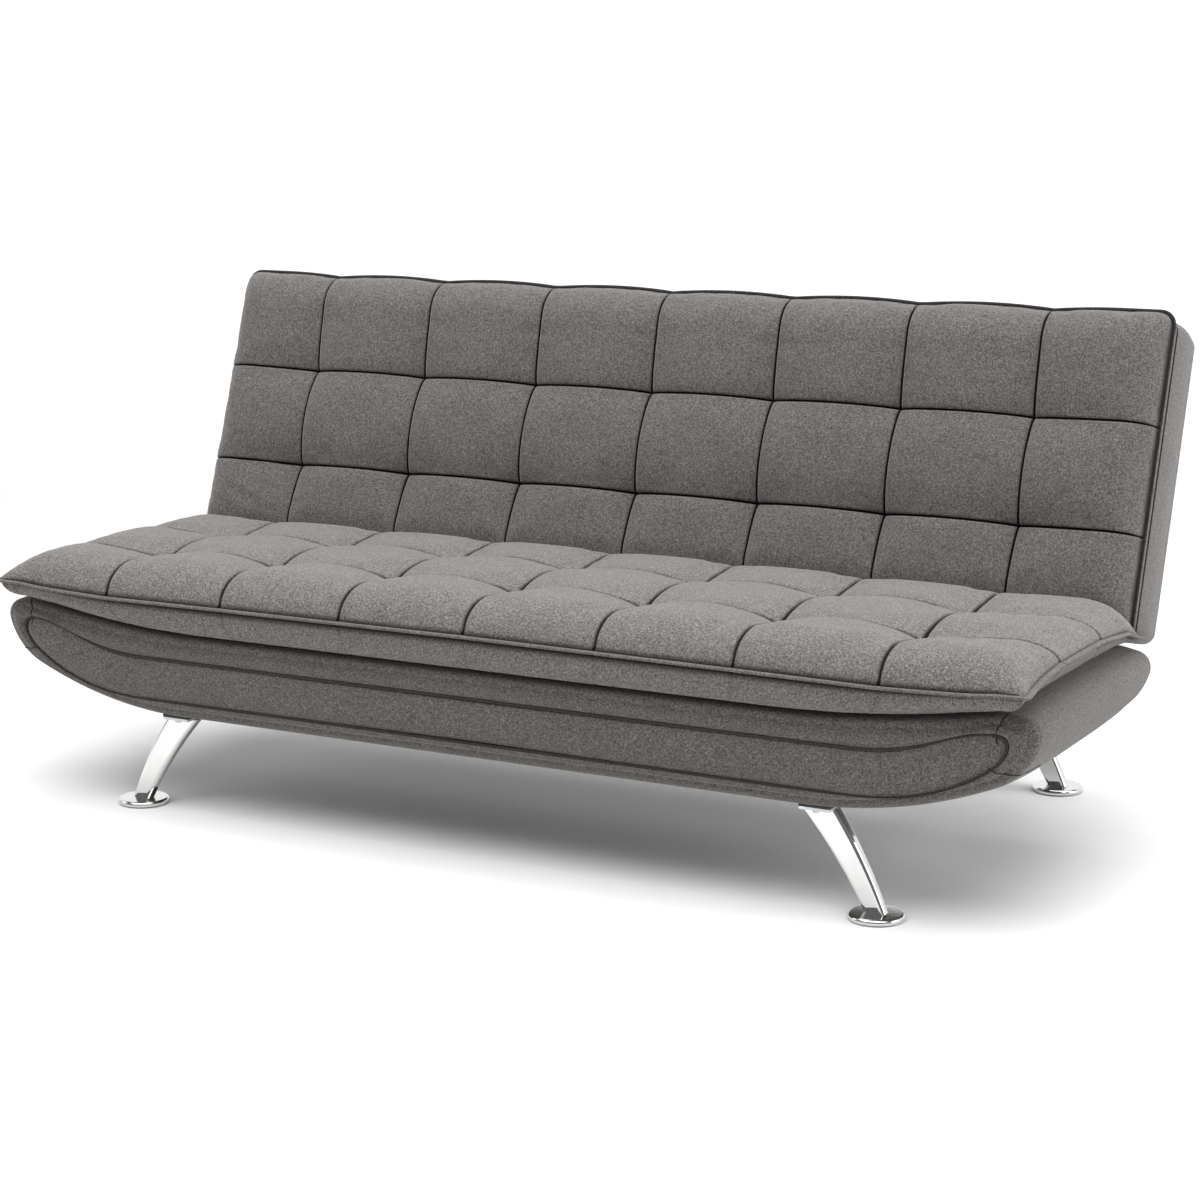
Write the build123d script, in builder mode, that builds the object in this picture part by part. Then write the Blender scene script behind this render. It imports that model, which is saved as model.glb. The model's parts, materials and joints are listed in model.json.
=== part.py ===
from build123d import *

import os
from math import cos, radians, sin

# A click-clack sofa bed: a boat-shaped upholstered base on four curved legs,
# a tufted seat pad, and a tufted backrest that folds back to lie level with the seat.
# Millimetres. +X runs along the width, the front faces -Y, +Z is up, the floor is z = 0.

# ---- Driving dimensions: base ---------------------------------------------------------
overall_width = 1850.0
base_front_y = -432.0
base_depth = 524.0
underside_z = 161.0
deck_z = 308.0
wrap_wall = 12.0
board_thickness = 18.0
front_padding = 10.0
rear_cover_thickness = 4.0

# The boat-shaped ends: distances in from the tip, and heights above the underside.
end_sweep_length = 365.0
end_lower_inset = 65.0
end_lower_rise = 63.0
end_tip_rise = 139.0
end_top_inset = 25.0
end_top_rise = 177.0
deck_edge_inset = 55.0
deck_edge_rise = 36.0
deck_sweep_length = 350.0

# The welted panel let into the front face.
panel_margin_x = 47.0
panel_bottom_margin = 31.0
panel_height = 71.0
panel_sweep_length = 238.0
panel_end_rise = 46.0
panel_proud = 5.0
panel_shoulder_inset = 28.0
panel_chin_inset = 31.0
panel_chin_drop = 11.0
panel_bend_inset = 113.0
panel_belly_start = 158.0
panel_belly_pull = (91.0, 52.0)
panel_nose_pulls = ((7.0, 15.0), (10.0, 48.0))
panel_shoulder_pull = (60.0, 3.0)
panel_bend_pull = (28.0, 12.0)
welt_width = 8.0
welt_proud = 4.0

# ---- Driving dimensions: seat and backrest pads ---------------------------------------
seat_front_overhang = 22.0
seat_rear_setback = 2.0
seat_edge_inset = 25.0
seat_edge_z = 372.0
seat_top_z = 420.0
seat_crown_inset = 80.0
deck_gap = 1.0

back_tilt = 19.3
back_length = 520.0
back_depth = 128.0
back_inset = 37.0
back_corner_radius = 16.0
shell_wall = 14.0
shell_drop = 12.0
back_pad_thickness = 54.0
back_pad_gap = 0.5
piping_width = 8.0
rear_panel_thickness = 6.0
back_pad_rounding = 76.0
back_pad_heel_depth = 26.0
back_pad_heel_rise = 22.0
back_pad_top_rounding = 45.6
back_pad_shoulder_setback = 14.0
back_pad_shoulder_drop = 12.7
piping_proud = 4.0
piping_t = 2.0
seat_shoulder = 14.0
seat_rear_drop = 39.0

# ---- Driving dimensions: hinge --------------------------------------------------------
pivot_gap = 17.0
pivot_z = 350.0
pivot_setback = 11.7
pin_radius = 5.0
pin_clearance = 0.05
eye_radius = 11.0
hinge_thickness = 6.0
hinge_gap = 0.5
rib_inset = 116.0
arm_length = 230.0
pin_head_radius = 8.0
pin_head_height = 4.0
neck_width = 12.0
neck_clearance = 3.0
hinge_plate_height = 60.0
hinge_plate_drop = 42.0
hinge_plate_reach = 150.0
hinge_bolt_radius = 4.0
plate_bolt_shares = (0.85, 0.35)
arm_bolt_shares = (0.35, 0.85)
notch_clearance = 3.0

# ---- Driving dimensions: under-frame and legs -----------------------------------------
rail_inset = 347.0
rail_size = 38.0
rail_tube_wall = 2.0
rear_reach = 319.0
rail_overrun = 26.0
packer_height = 11.0
plate_thickness = 4.0
plate_length = 52.0
plate_width = 50.0
foot_inset = 256.0
foot_setback = 36.0
foot_radius = 43.0
foot_thickness = 8.0
foot_edge_radius = 5.0
cap_thickness = 3.0
glide_thickness = 2.0
glide_margin = 5.0
leg_foot_width = 31.0
leg_top_width = 48.0
leg_foot_depth = 20.0
leg_top_depth = 22.0
leg_foot_angle = 25.0
leg_crease_radius = 7.0
bolt_radius = 3.0
bolt_head_radius = 5.0
bolt_head_height = 4.0
bolt_spacing = 36.0
bumper_size = 36.0
bumper_clearance = 0.5

# ---- Driving dimensions: timber and springs -------------------------------------------
timber_width = 30.0
timber_height = 46.0
stile_width = 26.0
back_timber_depth = 80.0
timber_clearance = 1.0
spring_wire = 4.0
spring_loop = 11.0
spring_run = 38.0
seat_spring_count = 9
back_spring_count = 6
deck_cloth_thickness = 3.0
fit_gap = 0.5

# ---- Derived places -------------------------------------------------------------------
half_width = overall_width / 2
base_rear_y = base_front_y + base_depth
board_front_y = base_front_y + front_padding
inner_front_y = board_front_y + board_thickness
board_rear_y = base_rear_y - rear_cover_thickness
inner_rear_y = board_rear_y - board_thickness
seat_front_y = base_front_y - seat_front_overhang
seat_rear_y = base_rear_y - seat_rear_setback

pivot_y = base_rear_y + pivot_gap
tilt_sin = sin(radians(back_tilt))
tilt_cos = cos(radians(back_tilt))
back_origin = Vector(
    0, pivot_y - pivot_setback * tilt_cos, pivot_z + pivot_setback * tilt_sin
)
back_half = half_width - back_inset
shell_length = back_length - shell_drop
rib_x = half_width - rib_inset
plate_inner_x = rib_x - board_thickness / 2 - hinge_thickness
arm_outer_x = plate_inner_x - hinge_gap
arm_inner_x = arm_outer_x - hinge_thickness

rail_x = half_width - rail_inset
rail_z = underside_z + wrap_wall
rail_top_z = rail_z + rail_size
rear_foot_y = base_rear_y + rear_reach
front_foot_y = base_front_y + foot_setback
rail_rear_y = rear_foot_y + rail_overrun
plate_top_z = rail_z - packer_height
plate_z = plate_top_z - plate_thickness
foot_x = half_width - foot_inset
leg_z = glide_thickness + foot_thickness
flat_rest_z = pivot_z + pivot_setback - back_depth
tube_bore = rail_size - 2 * rail_tube_wall
bolt_steps = (-bolt_spacing / 2, bolt_spacing / 2)

spring_rest_z = deck_z - wrap_wall
seat_rail_half = plate_inner_x - bolt_head_height - fit_gap
hinge_plate_z = deck_z - hinge_plate_drop
plate_front_y = base_rear_y - hinge_plate_reach
hinge_plate_bolts = [
    (base_rear_y - hinge_plate_reach * share, hinge_plate_z) for share in plate_bolt_shares
]
arm_bolts_along = [(0, arm_length * share) for share in arm_bolt_shares]
timber_front_t = -(pivot_setback + eye_radius + notch_clearance + timber_clearance)
timber_rear_t = timber_front_t - back_timber_depth
hinge_stile_front_t = -notch_clearance

os.makedirs("parts", exist_ok=True)


def save(block, label):
    """Labels a finished piece and writes it as parts/<label>.step."""
    block.part.label = label
    export_step(block.part, f"parts/{label}.step")


def at_y(y):
    """The sketch plane with +X right and +Z up that looks back from the front, at depth y."""
    return Plane.XZ.offset(-y)


def back_plane(t=0.0):
    """The backrest's front plane: local +X is +X, local +Y runs up the slope, +Z faces the
    sitter. t moves it forward."""
    facing = Vector(0, -tilt_cos, tilt_sin)
    return Plane(origin=back_origin + facing * t, x_dir=(1, 0, 0), z_dir=facing)


def side_plane(x):
    """The sketch plane across the width at x: local +X is +Y and local +Y is +Z."""
    return Plane.YZ.offset(x)


def back_side_plane(x):
    """The backrest's side plane at x: local +X runs forward, local +Y up the slope."""
    forward = (0, -tilt_cos, tilt_sin)
    return Plane(origin=back_origin + Vector(x, 0, 0), x_dir=forward, z_dir=(-1, 0, 0))


SIDES = {"left": -1, "right": 1}
FEET = {
    "front_left": (-1, front_foot_y),
    "front_right": (1, front_foot_y),
    "rear_left": (-1, rear_foot_y),
    "rear_right": (1, rear_foot_y),
}


# ---- Outlines -------------------------------------------------------------------------
def base_outline():
    """The boat-shaped outline of the base seen from the front."""
    sweep_x = half_width - end_sweep_length
    with BuildSketch() as outline:
        with BuildLine():
            Line((0, underside_z), (sweep_x, underside_z))
            lower = TangentArc(
                (sweep_x, underside_z),
                (half_width - end_lower_inset, underside_z + end_lower_rise),
                tangent=(1, 0),
            )
            nose = TangentArc(
                lower @ 1, (half_width, underside_z + end_tip_rise), tangent=lower % 1
            )
            lip = TangentArc(
                nose @ 1,
                (half_width - end_top_inset, underside_z + end_top_rise),
                tangent=nose % 1,
            )
            edge = (half_width - deck_edge_inset, deck_z + deck_edge_rise)
            flat_x = half_width - deck_edge_inset - deck_sweep_length
            Line(lip @ 1, edge)
            TangentArc((flat_x, deck_z), edge, tangent=(1, 0))
            Line((flat_x, deck_z), (0, deck_z))
            Line((0, deck_z), (0, underside_z))
        make_face()
        mirror(about=Plane.YZ)
    return outline.sketch


def inner_outline():
    """The base's outline inside its padded wrap."""
    with BuildSketch() as outline:
        add(base_outline())
        offset(amount=-wrap_wall, kind=Kind.INTERSECTION)
    return outline.sketch


def panel_outline(grow=0.0):
    """The outline of the panel let into the front face, with its edge moved out by grow."""
    tip_x = half_width - panel_margin_x + grow
    low = underside_z + panel_bottom_margin - grow
    high = low + panel_height + 2 * grow
    rise_x = half_width - panel_margin_x - panel_sweep_length
    shoulder = (tip_x - panel_shoulder_inset, high + panel_end_rise)
    chin = (tip_x - panel_chin_inset, high - panel_chin_drop - grow)
    bend = (tip_x - panel_bend_inset, high + panel_end_rise / 2)
    belly_inset, belly_drop = panel_belly_pull
    (low_nose_x, low_nose_z), (high_nose_x, high_nose_z) = panel_nose_pulls
    shoulder_x, shoulder_z = panel_shoulder_pull
    bend_x, bend_z = panel_bend_pull
    with BuildSketch() as outline:
        with BuildLine():
            Line((0, low), (rise_x, low))
            Bezier(
                (rise_x, low),
                (tip_x - panel_belly_start, low),
                (tip_x - belly_inset, high - belly_drop),
                chin,
            )
            Bezier(
                chin,
                (tip_x + low_nose_x, high + low_nose_z),
                (tip_x + high_nose_x, high + high_nose_z),
                shoulder,
            )
            Bezier(
                shoulder,
                (tip_x - shoulder_x, high + panel_end_rise - shoulder_z),
                (bend[0] + bend_x, bend[1] + bend_z),
                bend,
            )
            TangentArc((rise_x, high), bend, tangent=(1, 0))
            Line((rise_x, high), (0, high))
            Line((0, high), (0, low))
        make_face()
        mirror(about=Plane.YZ)
    return outline.sketch


def rail_section(grow=0.0):
    """The two side rails seen from the front, grown by grow on every side."""
    size = rail_size + 2 * grow
    with BuildSketch() as section:
        with Locations((0, rail_z + rail_size / 2)):
            with GridLocations(2 * rail_x, 1, 2, 1):
                Rectangle(size, size)
    return section.sketch


def hinge_slots():
    """The slots that the fixed hinge plates pass through, seen from the front."""
    slot_x = plate_inner_x + hinge_thickness / 2
    with BuildSketch() as slots:
        with Locations((0, hinge_plate_z)):
            with GridLocations(2 * slot_x, 1, 2, 1):
                Rectangle(hinge_thickness + 2 * fit_gap, hinge_plate_height + 2 * fit_gap)
    return slots.sketch


# ---- Base: padded wrap, boards and ribs -----------------------------------------------
with BuildPart() as base_wrap:
    with BuildSketch(at_y(board_rear_y)):
        add(base_outline())
        add(inner_outline(), mode=Mode.SUBTRACT)
        add(rail_section(fit_gap), mode=Mode.SUBTRACT)
        with Locations((0, deck_z + deck_edge_rise / 2)):
            Rectangle(
                2 * (half_width - deck_edge_inset - timber_width),
                2 * (deck_edge_rise + wrap_wall),
                mode=Mode.SUBTRACT,
            )
    extrude(amount=board_rear_y - board_front_y)
    # Pockets in the floor of the wrap for the packers above the front legs.
    with BuildSketch(Plane.XY.offset(underside_z)):
        with Locations((0, front_foot_y)):
            with GridLocations(2 * rail_x, 1, 2, 1):
                Rectangle(plate_width + 2 * fit_gap, plate_length + 2 * fit_gap)
    extrude(amount=wrap_wall + deck_gap, both=True, mode=Mode.SUBTRACT)
save(base_wrap, "base_wrap")

with BuildPart() as base_front_border:
    with BuildSketch(at_y(board_front_y)):
        add(base_outline())
        add(panel_outline(welt_width), mode=Mode.SUBTRACT)
    extrude(amount=front_padding)
save(base_front_border, "base_front_border")

with BuildPart() as front_panel:
    with BuildSketch(at_y(board_front_y)):
        add(panel_outline())
    extrude(amount=front_padding + panel_proud)
save(front_panel, "front_panel")

with BuildPart() as front_welt:
    with BuildSketch(at_y(board_front_y)):
        add(panel_outline(welt_width))
        add(panel_outline(), mode=Mode.SUBTRACT)
    extrude(amount=front_padding + welt_proud)
save(front_welt, "front_welt")

with BuildPart() as base_rear_cover:
    with BuildSketch(at_y(base_rear_y)):
        add(base_outline())
        add(rail_section(fit_gap), mode=Mode.SUBTRACT)
        add(hinge_slots(), mode=Mode.SUBTRACT)
    extrude(amount=rear_cover_thickness)
save(base_rear_cover, "base_rear_cover")

with BuildPart() as base_front_board:
    with BuildSketch(at_y(inner_front_y)):
        add(inner_outline())
        add(rail_section(fit_gap), mode=Mode.SUBTRACT)
    extrude(amount=board_thickness)
save(base_front_board, "base_front_board")

with BuildPart() as base_rear_board:
    with BuildSketch(at_y(board_rear_y)):
        add(inner_outline())
        add(rail_section(fit_gap), mode=Mode.SUBTRACT)
        add(hinge_slots(), mode=Mode.SUBTRACT)
    extrude(amount=board_thickness)
save(base_rear_board, "base_rear_board")

for side, sign in SIDES.items():
    with BuildPart() as base_rib:
        with BuildSketch(at_y(inner_rear_y)):
            add(inner_outline())
        extrude(amount=inner_rear_y - inner_front_y)
        with BuildSketch(side_plane(sign * rib_x)):
            with Locations(((inner_front_y + inner_rear_y) / 2, deck_z)):
                Rectangle(base_depth, 2 * deck_z)
        extrude(amount=board_thickness / 2, both=True, mode=Mode.INTERSECT)
        with BuildSketch(side_plane(sign * rib_x)):
            with Locations(*hinge_plate_bolts):
                Circle(hinge_bolt_radius)
        extrude(amount=board_thickness, both=True, mode=Mode.SUBTRACT)
    save(base_rib, f"base_rib_{side}")

# ---- Seat: timber rails, springs, deck cloth and pad ----------------------------------
seat_rail_ends = {
    "front": inner_front_y + timber_width / 2,
    "rear": inner_rear_y - timber_width / 2,
}
for end, y in seat_rail_ends.items():
    with BuildPart() as seat_rail:
        with BuildSketch(Plane.XY.offset(spring_rest_z - timber_height)):
            with Locations((0, y)):
                Rectangle(2 * seat_rail_half, timber_width)
        extrude(amount=timber_height)
    save(seat_rail, f"seat_rail_{end}")


def spring_path(start, end):
    """A sinuous spring's wire along local +Y: straight runs across, joined by half turns."""
    pitch = 2 * spring_loop
    runs = int((end - start) / pitch)
    first = (start + end) / 2 - pitch * (runs - 1) / 2
    with BuildLine() as wire:
        for i in range(runs):
            across = spring_run / 2 * (-1) ** i
            along = first + pitch * i
            Line((-across, along), (across, along))
            if i < runs - 1:
                bulge = across + spring_loop * (-1) ** i
                middle = (bulge, along + spring_loop)
                ThreePointArc((across, along), middle, (across, along + pitch))
    return wire.line


def spring(start, end):
    """One sinuous spring lying in the local XY plane."""
    path = spring_path(start, end)
    with BuildPart() as wire:
        with BuildSketch(Plane(origin=path @ 0, z_dir=path % 0)):
            Circle(spring_wire / 2)
        sweep(path=path)
    return wire.part


with BuildPart() as seat_springs:
    seat_spring = spring(inner_front_y + spring_wire, inner_rear_y - spring_wire)
    with Locations((0, 0, spring_rest_z + spring_wire / 2)):
        with GridLocations(2 * seat_rail_half / seat_spring_count, 1, seat_spring_count, 1):
            add(seat_spring)
save(seat_springs, "seat_springs")

with BuildPart() as seat_deck_cloth:
    with BuildSketch(Plane.XY.offset(spring_rest_z + spring_wire + fit_gap)):
        with Locations((0, (inner_front_y + inner_rear_y) / 2)):
            Rectangle(2 * seat_rail_half, inner_rear_y - inner_front_y)
    extrude(amount=deck_cloth_thickness)
save(seat_deck_cloth, "seat_deck_cloth")

with BuildPart() as seat_pad:
    with BuildSketch(at_y(seat_rear_y)):
        with BuildLine():
            flat_x = half_width - deck_edge_inset - deck_sweep_length
            low = (half_width - deck_edge_inset, deck_z + deck_edge_rise + deck_gap)
            edge = (half_width - seat_edge_inset, seat_edge_z)
            crown = (half_width - seat_crown_inset, seat_top_z)
            shoulder = (edge[0] - seat_shoulder, seat_top_z - seat_shoulder)
            Line((0, deck_z + deck_gap), (flat_x, deck_z + deck_gap))
            TangentArc((flat_x, deck_z + deck_gap), low, tangent=(1, 0))
            Line(low, edge)
            ThreePointArc(edge, shoulder, crown)
            Line(crown, (0, seat_top_z))
            Line((0, seat_top_z), (0, deck_z + deck_gap))
        make_face()
        mirror(about=Plane.YZ)
    extrude(amount=seat_rear_y - seat_front_y)
    # The front edge is rounded, and the rear slopes down under the backrest pad.
    with BuildSketch(side_plane(0)):
        with BuildLine():
            foot = (seat_front_y + seat_shoulder, deck_z)
            front = (seat_front_y, seat_edge_z)
            front_crown = (seat_front_y + seat_crown_inset, seat_top_z)
            front_shoulder = (seat_front_y + seat_shoulder, seat_top_z - seat_shoulder)
            heel = (seat_rear_y, deck_z)
            rear = (seat_rear_y, pivot_z)
            rear_shoulder = (seat_rear_y - seat_shoulder, seat_top_z - seat_rear_drop)
            rear_crown = (seat_rear_y - seat_crown_inset, seat_top_z)
            Line(foot, front)
            ThreePointArc(front, front_shoulder, front_crown)
            Line(front_crown, rear_crown)
            ThreePointArc(rear_crown, rear_shoulder, rear)
            Line(rear, heel)
            Line(heel, foot)
        make_face()
    extrude(amount=half_width, both=True, mode=Mode.INTERSECT)
save(seat_pad, "seat_pad")

# ---- Under-frame: square tubes --------------------------------------------------------
bolt_ys = [y + step for y in (front_foot_y, rear_foot_y) for step in bolt_steps]

for side, sign in SIDES.items():
    with BuildPart() as side_rail:
        with BuildSketch(at_y(rail_rear_y)):
            with Locations((sign * rail_x, rail_z + rail_size / 2)):
                Rectangle(rail_size, rail_size)
                Rectangle(tube_bore, tube_bore, mode=Mode.SUBTRACT)
        extrude(amount=rail_rear_y - board_front_y)
        with BuildSketch(Plane.XY.offset(rail_z)):
            with Locations(*[(sign * rail_x, y) for y in bolt_ys]):
                Circle(bolt_radius)
        extrude(amount=rail_tube_wall, mode=Mode.SUBTRACT)
    save(side_rail, f"side_rail_{side}")

cross_rail_ys = {
    "front": front_foot_y + plate_length,
    "middle": inner_rear_y - rail_size / 2 - deck_gap,
    "rear": rear_foot_y,
}
for place, y in cross_rail_ys.items():
    with BuildPart() as cross_rail:
        with BuildSketch(side_plane(0)):
            with Locations((y, rail_z + rail_size / 2)):
                Rectangle(rail_size, rail_size)
                Rectangle(tube_bore, tube_bore, mode=Mode.SUBTRACT)
        extrude(amount=rail_x - rail_size / 2, both=True)
    save(cross_rail, f"cross_rail_{place}")

with BuildPart() as rail_end_caps:
    with BuildSketch(at_y(rail_rear_y + cap_thickness)):
        add(rail_section())
    extrude(amount=cap_thickness)
save(rail_end_caps, "rail_end_caps")

for side, sign in SIDES.items():
    with BuildPart() as back_bumper:
        with BuildSketch(Plane.XY.offset(rail_top_z)):
            with Locations((sign * rail_x, rear_foot_y)):
                RectangleRounded(bumper_size, bumper_size, bumper_size / 6)
        extrude(amount=flat_rest_z - bumper_clearance - rail_top_z)
    save(back_bumper, f"back_bumper_{side}")

# ---- Legs: plates, packers, curved legs, feet and bolts -------------------------------
with BuildPart() as leg_form:
    lean = radians(leg_foot_angle)
    with BuildLine(at_y(0)) as leg_line:
        TangentArc(
            (foot_x, leg_z), (rail_x, plate_z), tangent=(-sin(lean), cos(lean))
        )
    with BuildSketch(at_y(0)):
        with BuildLine():
            outer, inner = [], []
            for share in (0.0, 0.5, 1.0):
                point = leg_line.line @ share
                along = leg_line.line % share
                half = (leg_foot_width * (1 - share) + leg_top_width * share) / 2
                outer.append((point.X + along.Z * half, point.Z - along.X * half))
                inner.append((point.X - along.Z * half, point.Z + along.X * half))
            outer_edge = ThreePointArc(*outer)
            inner_edge = ThreePointArc(*inner)
            runout = leg_foot_width
            ends = [
                (edge @ end + (edge % end) * (2 * end - 1) * runout)
                for edge in (outer_edge, inner_edge)
                for end in (0, 1)
            ]
            Line(outer_edge @ 0, ends[0])
            Line(outer_edge @ 1, ends[1])
            Line(inner_edge @ 0, ends[2])
            Line(inner_edge @ 1, ends[3])
            Line(ends[0], ends[2])
            Line(ends[1], ends[3])
        make_face()
    extrude(amount=leg_foot_depth, both=True)
    with BuildSketch(side_plane(0)):
        with BuildLine():
            Polyline(
                (-leg_foot_depth / 2, leg_z),
                (leg_foot_depth / 2, leg_z),
                (leg_top_depth / 2, plate_z),
                (-leg_top_depth / 2, plate_z),
                close=True,
            )
        make_face()
    extrude(amount=half_width, mode=Mode.INTERSECT)
    caps = leg_form.faces().filter_by(Axis.Z)
    creases = leg_form.edges() - caps.edges()
    fillet(creases, radius=leg_crease_radius)

for place, (sign, y) in FEET.items():
    with BuildPart() as leg:
        with Locations((0, y, 0)):
            add(leg_form.part)
        if sign < 0:
            mirror(about=Plane.YZ, mode=Mode.REPLACE)
    save(leg, f"leg_{place}")

    with BuildPart() as foot_disc:
        with BuildSketch(Plane.XY.offset(glide_thickness)):
            with Locations((sign * foot_x, y)):
                Circle(foot_radius)
        extrude(amount=foot_thickness)
        fillet(foot_disc.edges().sort_by(Axis.Z)[-1], radius=foot_edge_radius)
    save(foot_disc, f"foot_disc_{place}")

    with BuildPart() as glide_pad:
        with BuildSketch(Plane.XY):
            with Locations((sign * foot_x, y)):
                Circle(foot_radius - glide_margin)
        extrude(amount=glide_thickness)
    save(glide_pad, f"glide_pad_{place}")

    with BuildPart() as leg_plate:
        with BuildSketch(Plane.XY.offset(plate_z)):
            with Locations((sign * rail_x, y)):
                Rectangle(plate_width, plate_length)
                with GridLocations(1, bolt_spacing, 1, 2):
                    Circle(bolt_radius, mode=Mode.SUBTRACT)
        extrude(amount=plate_thickness)
    save(leg_plate, f"leg_plate_{place}")

leg_spots = [(sign * rail_x, y) for sign, y in FEET.values()]
bolt_spots = [(sign * rail_x, y) for sign in SIDES.values() for y in bolt_ys]

with BuildPart() as leg_packers:
    with BuildSketch(Plane.XY.offset(plate_top_z)):
        with Locations(*leg_spots):
            Rectangle(plate_width, plate_length)
        with Locations(*bolt_spots):
            Circle(bolt_radius, mode=Mode.SUBTRACT)
    extrude(amount=packer_height)
save(leg_packers, "leg_packers")

with BuildPart() as leg_bolts:
    with BuildSketch(Plane.XY.offset(plate_z - bolt_head_height)):
        with Locations(*bolt_spots):
            Circle(bolt_head_radius)
    extrude(amount=bolt_head_height)
    with BuildSketch(Plane.XY.offset(plate_z)):
        with Locations(*bolt_spots):
            Circle(bolt_radius)
    extrude(amount=plate_thickness + packer_height + 2 * rail_tube_wall)
save(leg_bolts, "leg_bolts")

# ---- Hinges: fixed plate, riveted pin, moving arm -------------------------------------
for side, sign in SIDES.items():
    with BuildPart() as hinge_plate:
        with BuildSketch(side_plane(sign * plate_inner_x)):
            tongue_rear = pivot_y - neck_clearance
            with Locations(((plate_front_y + tongue_rear) / 2, hinge_plate_z)):
                Rectangle(tongue_rear - plate_front_y, hinge_plate_height)
            neck_base = hinge_plate_z - hinge_plate_height / 2
            with Locations((tongue_rear - neck_width / 2, (neck_base + pivot_z) / 2)):
                Rectangle(neck_width, pivot_z - neck_base)
            with Locations((pivot_y, pivot_z)):
                Circle(eye_radius)
                Circle(pin_radius, mode=Mode.SUBTRACT)
            with Locations(*hinge_plate_bolts):
                Circle(hinge_bolt_radius, mode=Mode.SUBTRACT)
        extrude(amount=sign * hinge_thickness)
    save(hinge_plate, f"hinge_plate_{side}")

    with BuildPart() as hinge_pin:
        with BuildSketch(side_plane(sign * arm_inner_x)):
            with Locations((pivot_y, pivot_z)):
                Circle(pin_radius)
        extrude(amount=sign * (2 * hinge_thickness + hinge_gap))
        with BuildSketch(side_plane(sign * (plate_inner_x + hinge_thickness))):
            with Locations((pivot_y, pivot_z)):
                Circle(pin_head_radius)
        extrude(amount=sign * pin_head_height)
        with BuildSketch(side_plane(sign * (arm_inner_x - hinge_gap))):
            with Locations((pivot_y, pivot_z)):
                Circle(pin_head_radius)
        extrude(amount=-sign * pin_head_height)
        with BuildSketch(side_plane(sign * (arm_inner_x - hinge_gap))):
            with Locations((pivot_y, pivot_z)):
                Circle(pin_radius)
        extrude(amount=sign * hinge_gap)
    save(hinge_pin, f"hinge_pin_{side}")

    with BuildPart() as hinge_arm:
        with BuildSketch(back_side_plane(sign * arm_inner_x)):
            with Locations((-pivot_setback, 0)):
                Circle(eye_radius)
                with Locations((0, arm_length / 2)):
                    Rectangle(2 * eye_radius, arm_length)
                Circle(pin_radius + pin_clearance, mode=Mode.SUBTRACT)
                with Locations(*arm_bolts_along):
                    Circle(bolt_radius, mode=Mode.SUBTRACT)
        extrude(amount=-sign * hinge_thickness)
    save(hinge_arm, f"hinge_arm_{side}")

with BuildPart() as hinge_plate_screws:
    for sign in SIDES.values():
        with BuildSketch(side_plane(sign * plate_inner_x)):
            with Locations(*hinge_plate_bolts):
                Circle(hinge_bolt_radius)
        extrude(amount=sign * (hinge_thickness + board_thickness))
        with BuildSketch(side_plane(sign * plate_inner_x)):
            with Locations(*hinge_plate_bolts):
                Circle(2 * hinge_bolt_radius)
        extrude(amount=-sign * bolt_head_height)
save(hinge_plate_screws, "hinge_plate_screws")

# ---- Backrest: timber frame, springs, padded shell, rear panel, pad and piping --------
inner_half = back_half - shell_wall
inner_top = shell_length - shell_wall
frame_mid_s = shell_length / 2


def back_timber(x, s, width, height, front_t):
    """A bar of the backrest frame, centred at x and s, from the rear of the frame to
    front_t."""
    with BuildPart() as bar:
        with BuildSketch(back_plane(timber_rear_t)):
            with Locations((x, s)):
                Rectangle(width, height)
        extrude(amount=front_t - timber_rear_t)
    return bar


rail_length = 2 * inner_half
bottom_rail_s = shell_wall + timber_width / 2
top_rail_s = inner_top - timber_width / 2
save(
    back_timber(0, bottom_rail_s, rail_length, timber_width, timber_front_t),
    "back_rail_bottom",
)
save(
    back_timber(0, top_rail_s, rail_length, timber_width, timber_front_t),
    "back_rail_top",
)
stile_height = top_rail_s - bottom_rail_s - timber_width
save(
    back_timber(0, frame_mid_s, stile_width, stile_height, timber_front_t),
    "back_stile_centre",
)
for side, sign in SIDES.items():
    end_x = sign * (inner_half - stile_width / 2)
    end_stile = back_timber(end_x, frame_mid_s, stile_width, stile_height, timber_front_t)
    save(end_stile, f"back_stile_end_{side}")

    with BuildPart() as hinge_stile:
        add(
            back_timber(
                sign * (arm_inner_x - stile_width / 2),
                frame_mid_s,
                stile_width,
                stile_height,
                hinge_stile_front_t,
            ).part
        )
        with BuildSketch(back_side_plane(sign * arm_inner_x)):
            with Locations((-pivot_setback, 0)):
                with Locations(*arm_bolts_along):
                    Circle(bolt_radius)
        extrude(amount=stile_width, both=True, mode=Mode.SUBTRACT)
    save(hinge_stile, f"back_stile_hinge_{side}")

with BuildPart() as hinge_arm_bolts:
    for sign in SIDES.values():
        with BuildSketch(back_side_plane(sign * arm_outer_x)):
            with Locations((-pivot_setback, 0)):
                with Locations(*arm_bolts_along):
                    Circle(bolt_radius)
        extrude(amount=sign * (hinge_thickness + stile_width))
        with BuildSketch(back_side_plane(sign * arm_outer_x)):
            with Locations((-pivot_setback, 0)):
                with Locations(*arm_bolts_along):
                    Circle(bolt_head_radius)
        extrude(amount=-sign * bolt_head_height)
save(hinge_arm_bolts, "hinge_arm_bolts")

with BuildPart() as back_springs:
    back_spring = spring(bottom_rail_s - timber_width / 4, top_rail_s + timber_width / 4)
    with Locations(back_plane(timber_front_t + spring_wire / 2)):
        with GridLocations(rail_length / back_spring_count, 1, back_spring_count, 1):
            add(back_spring)
save(back_springs, "back_springs")

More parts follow.
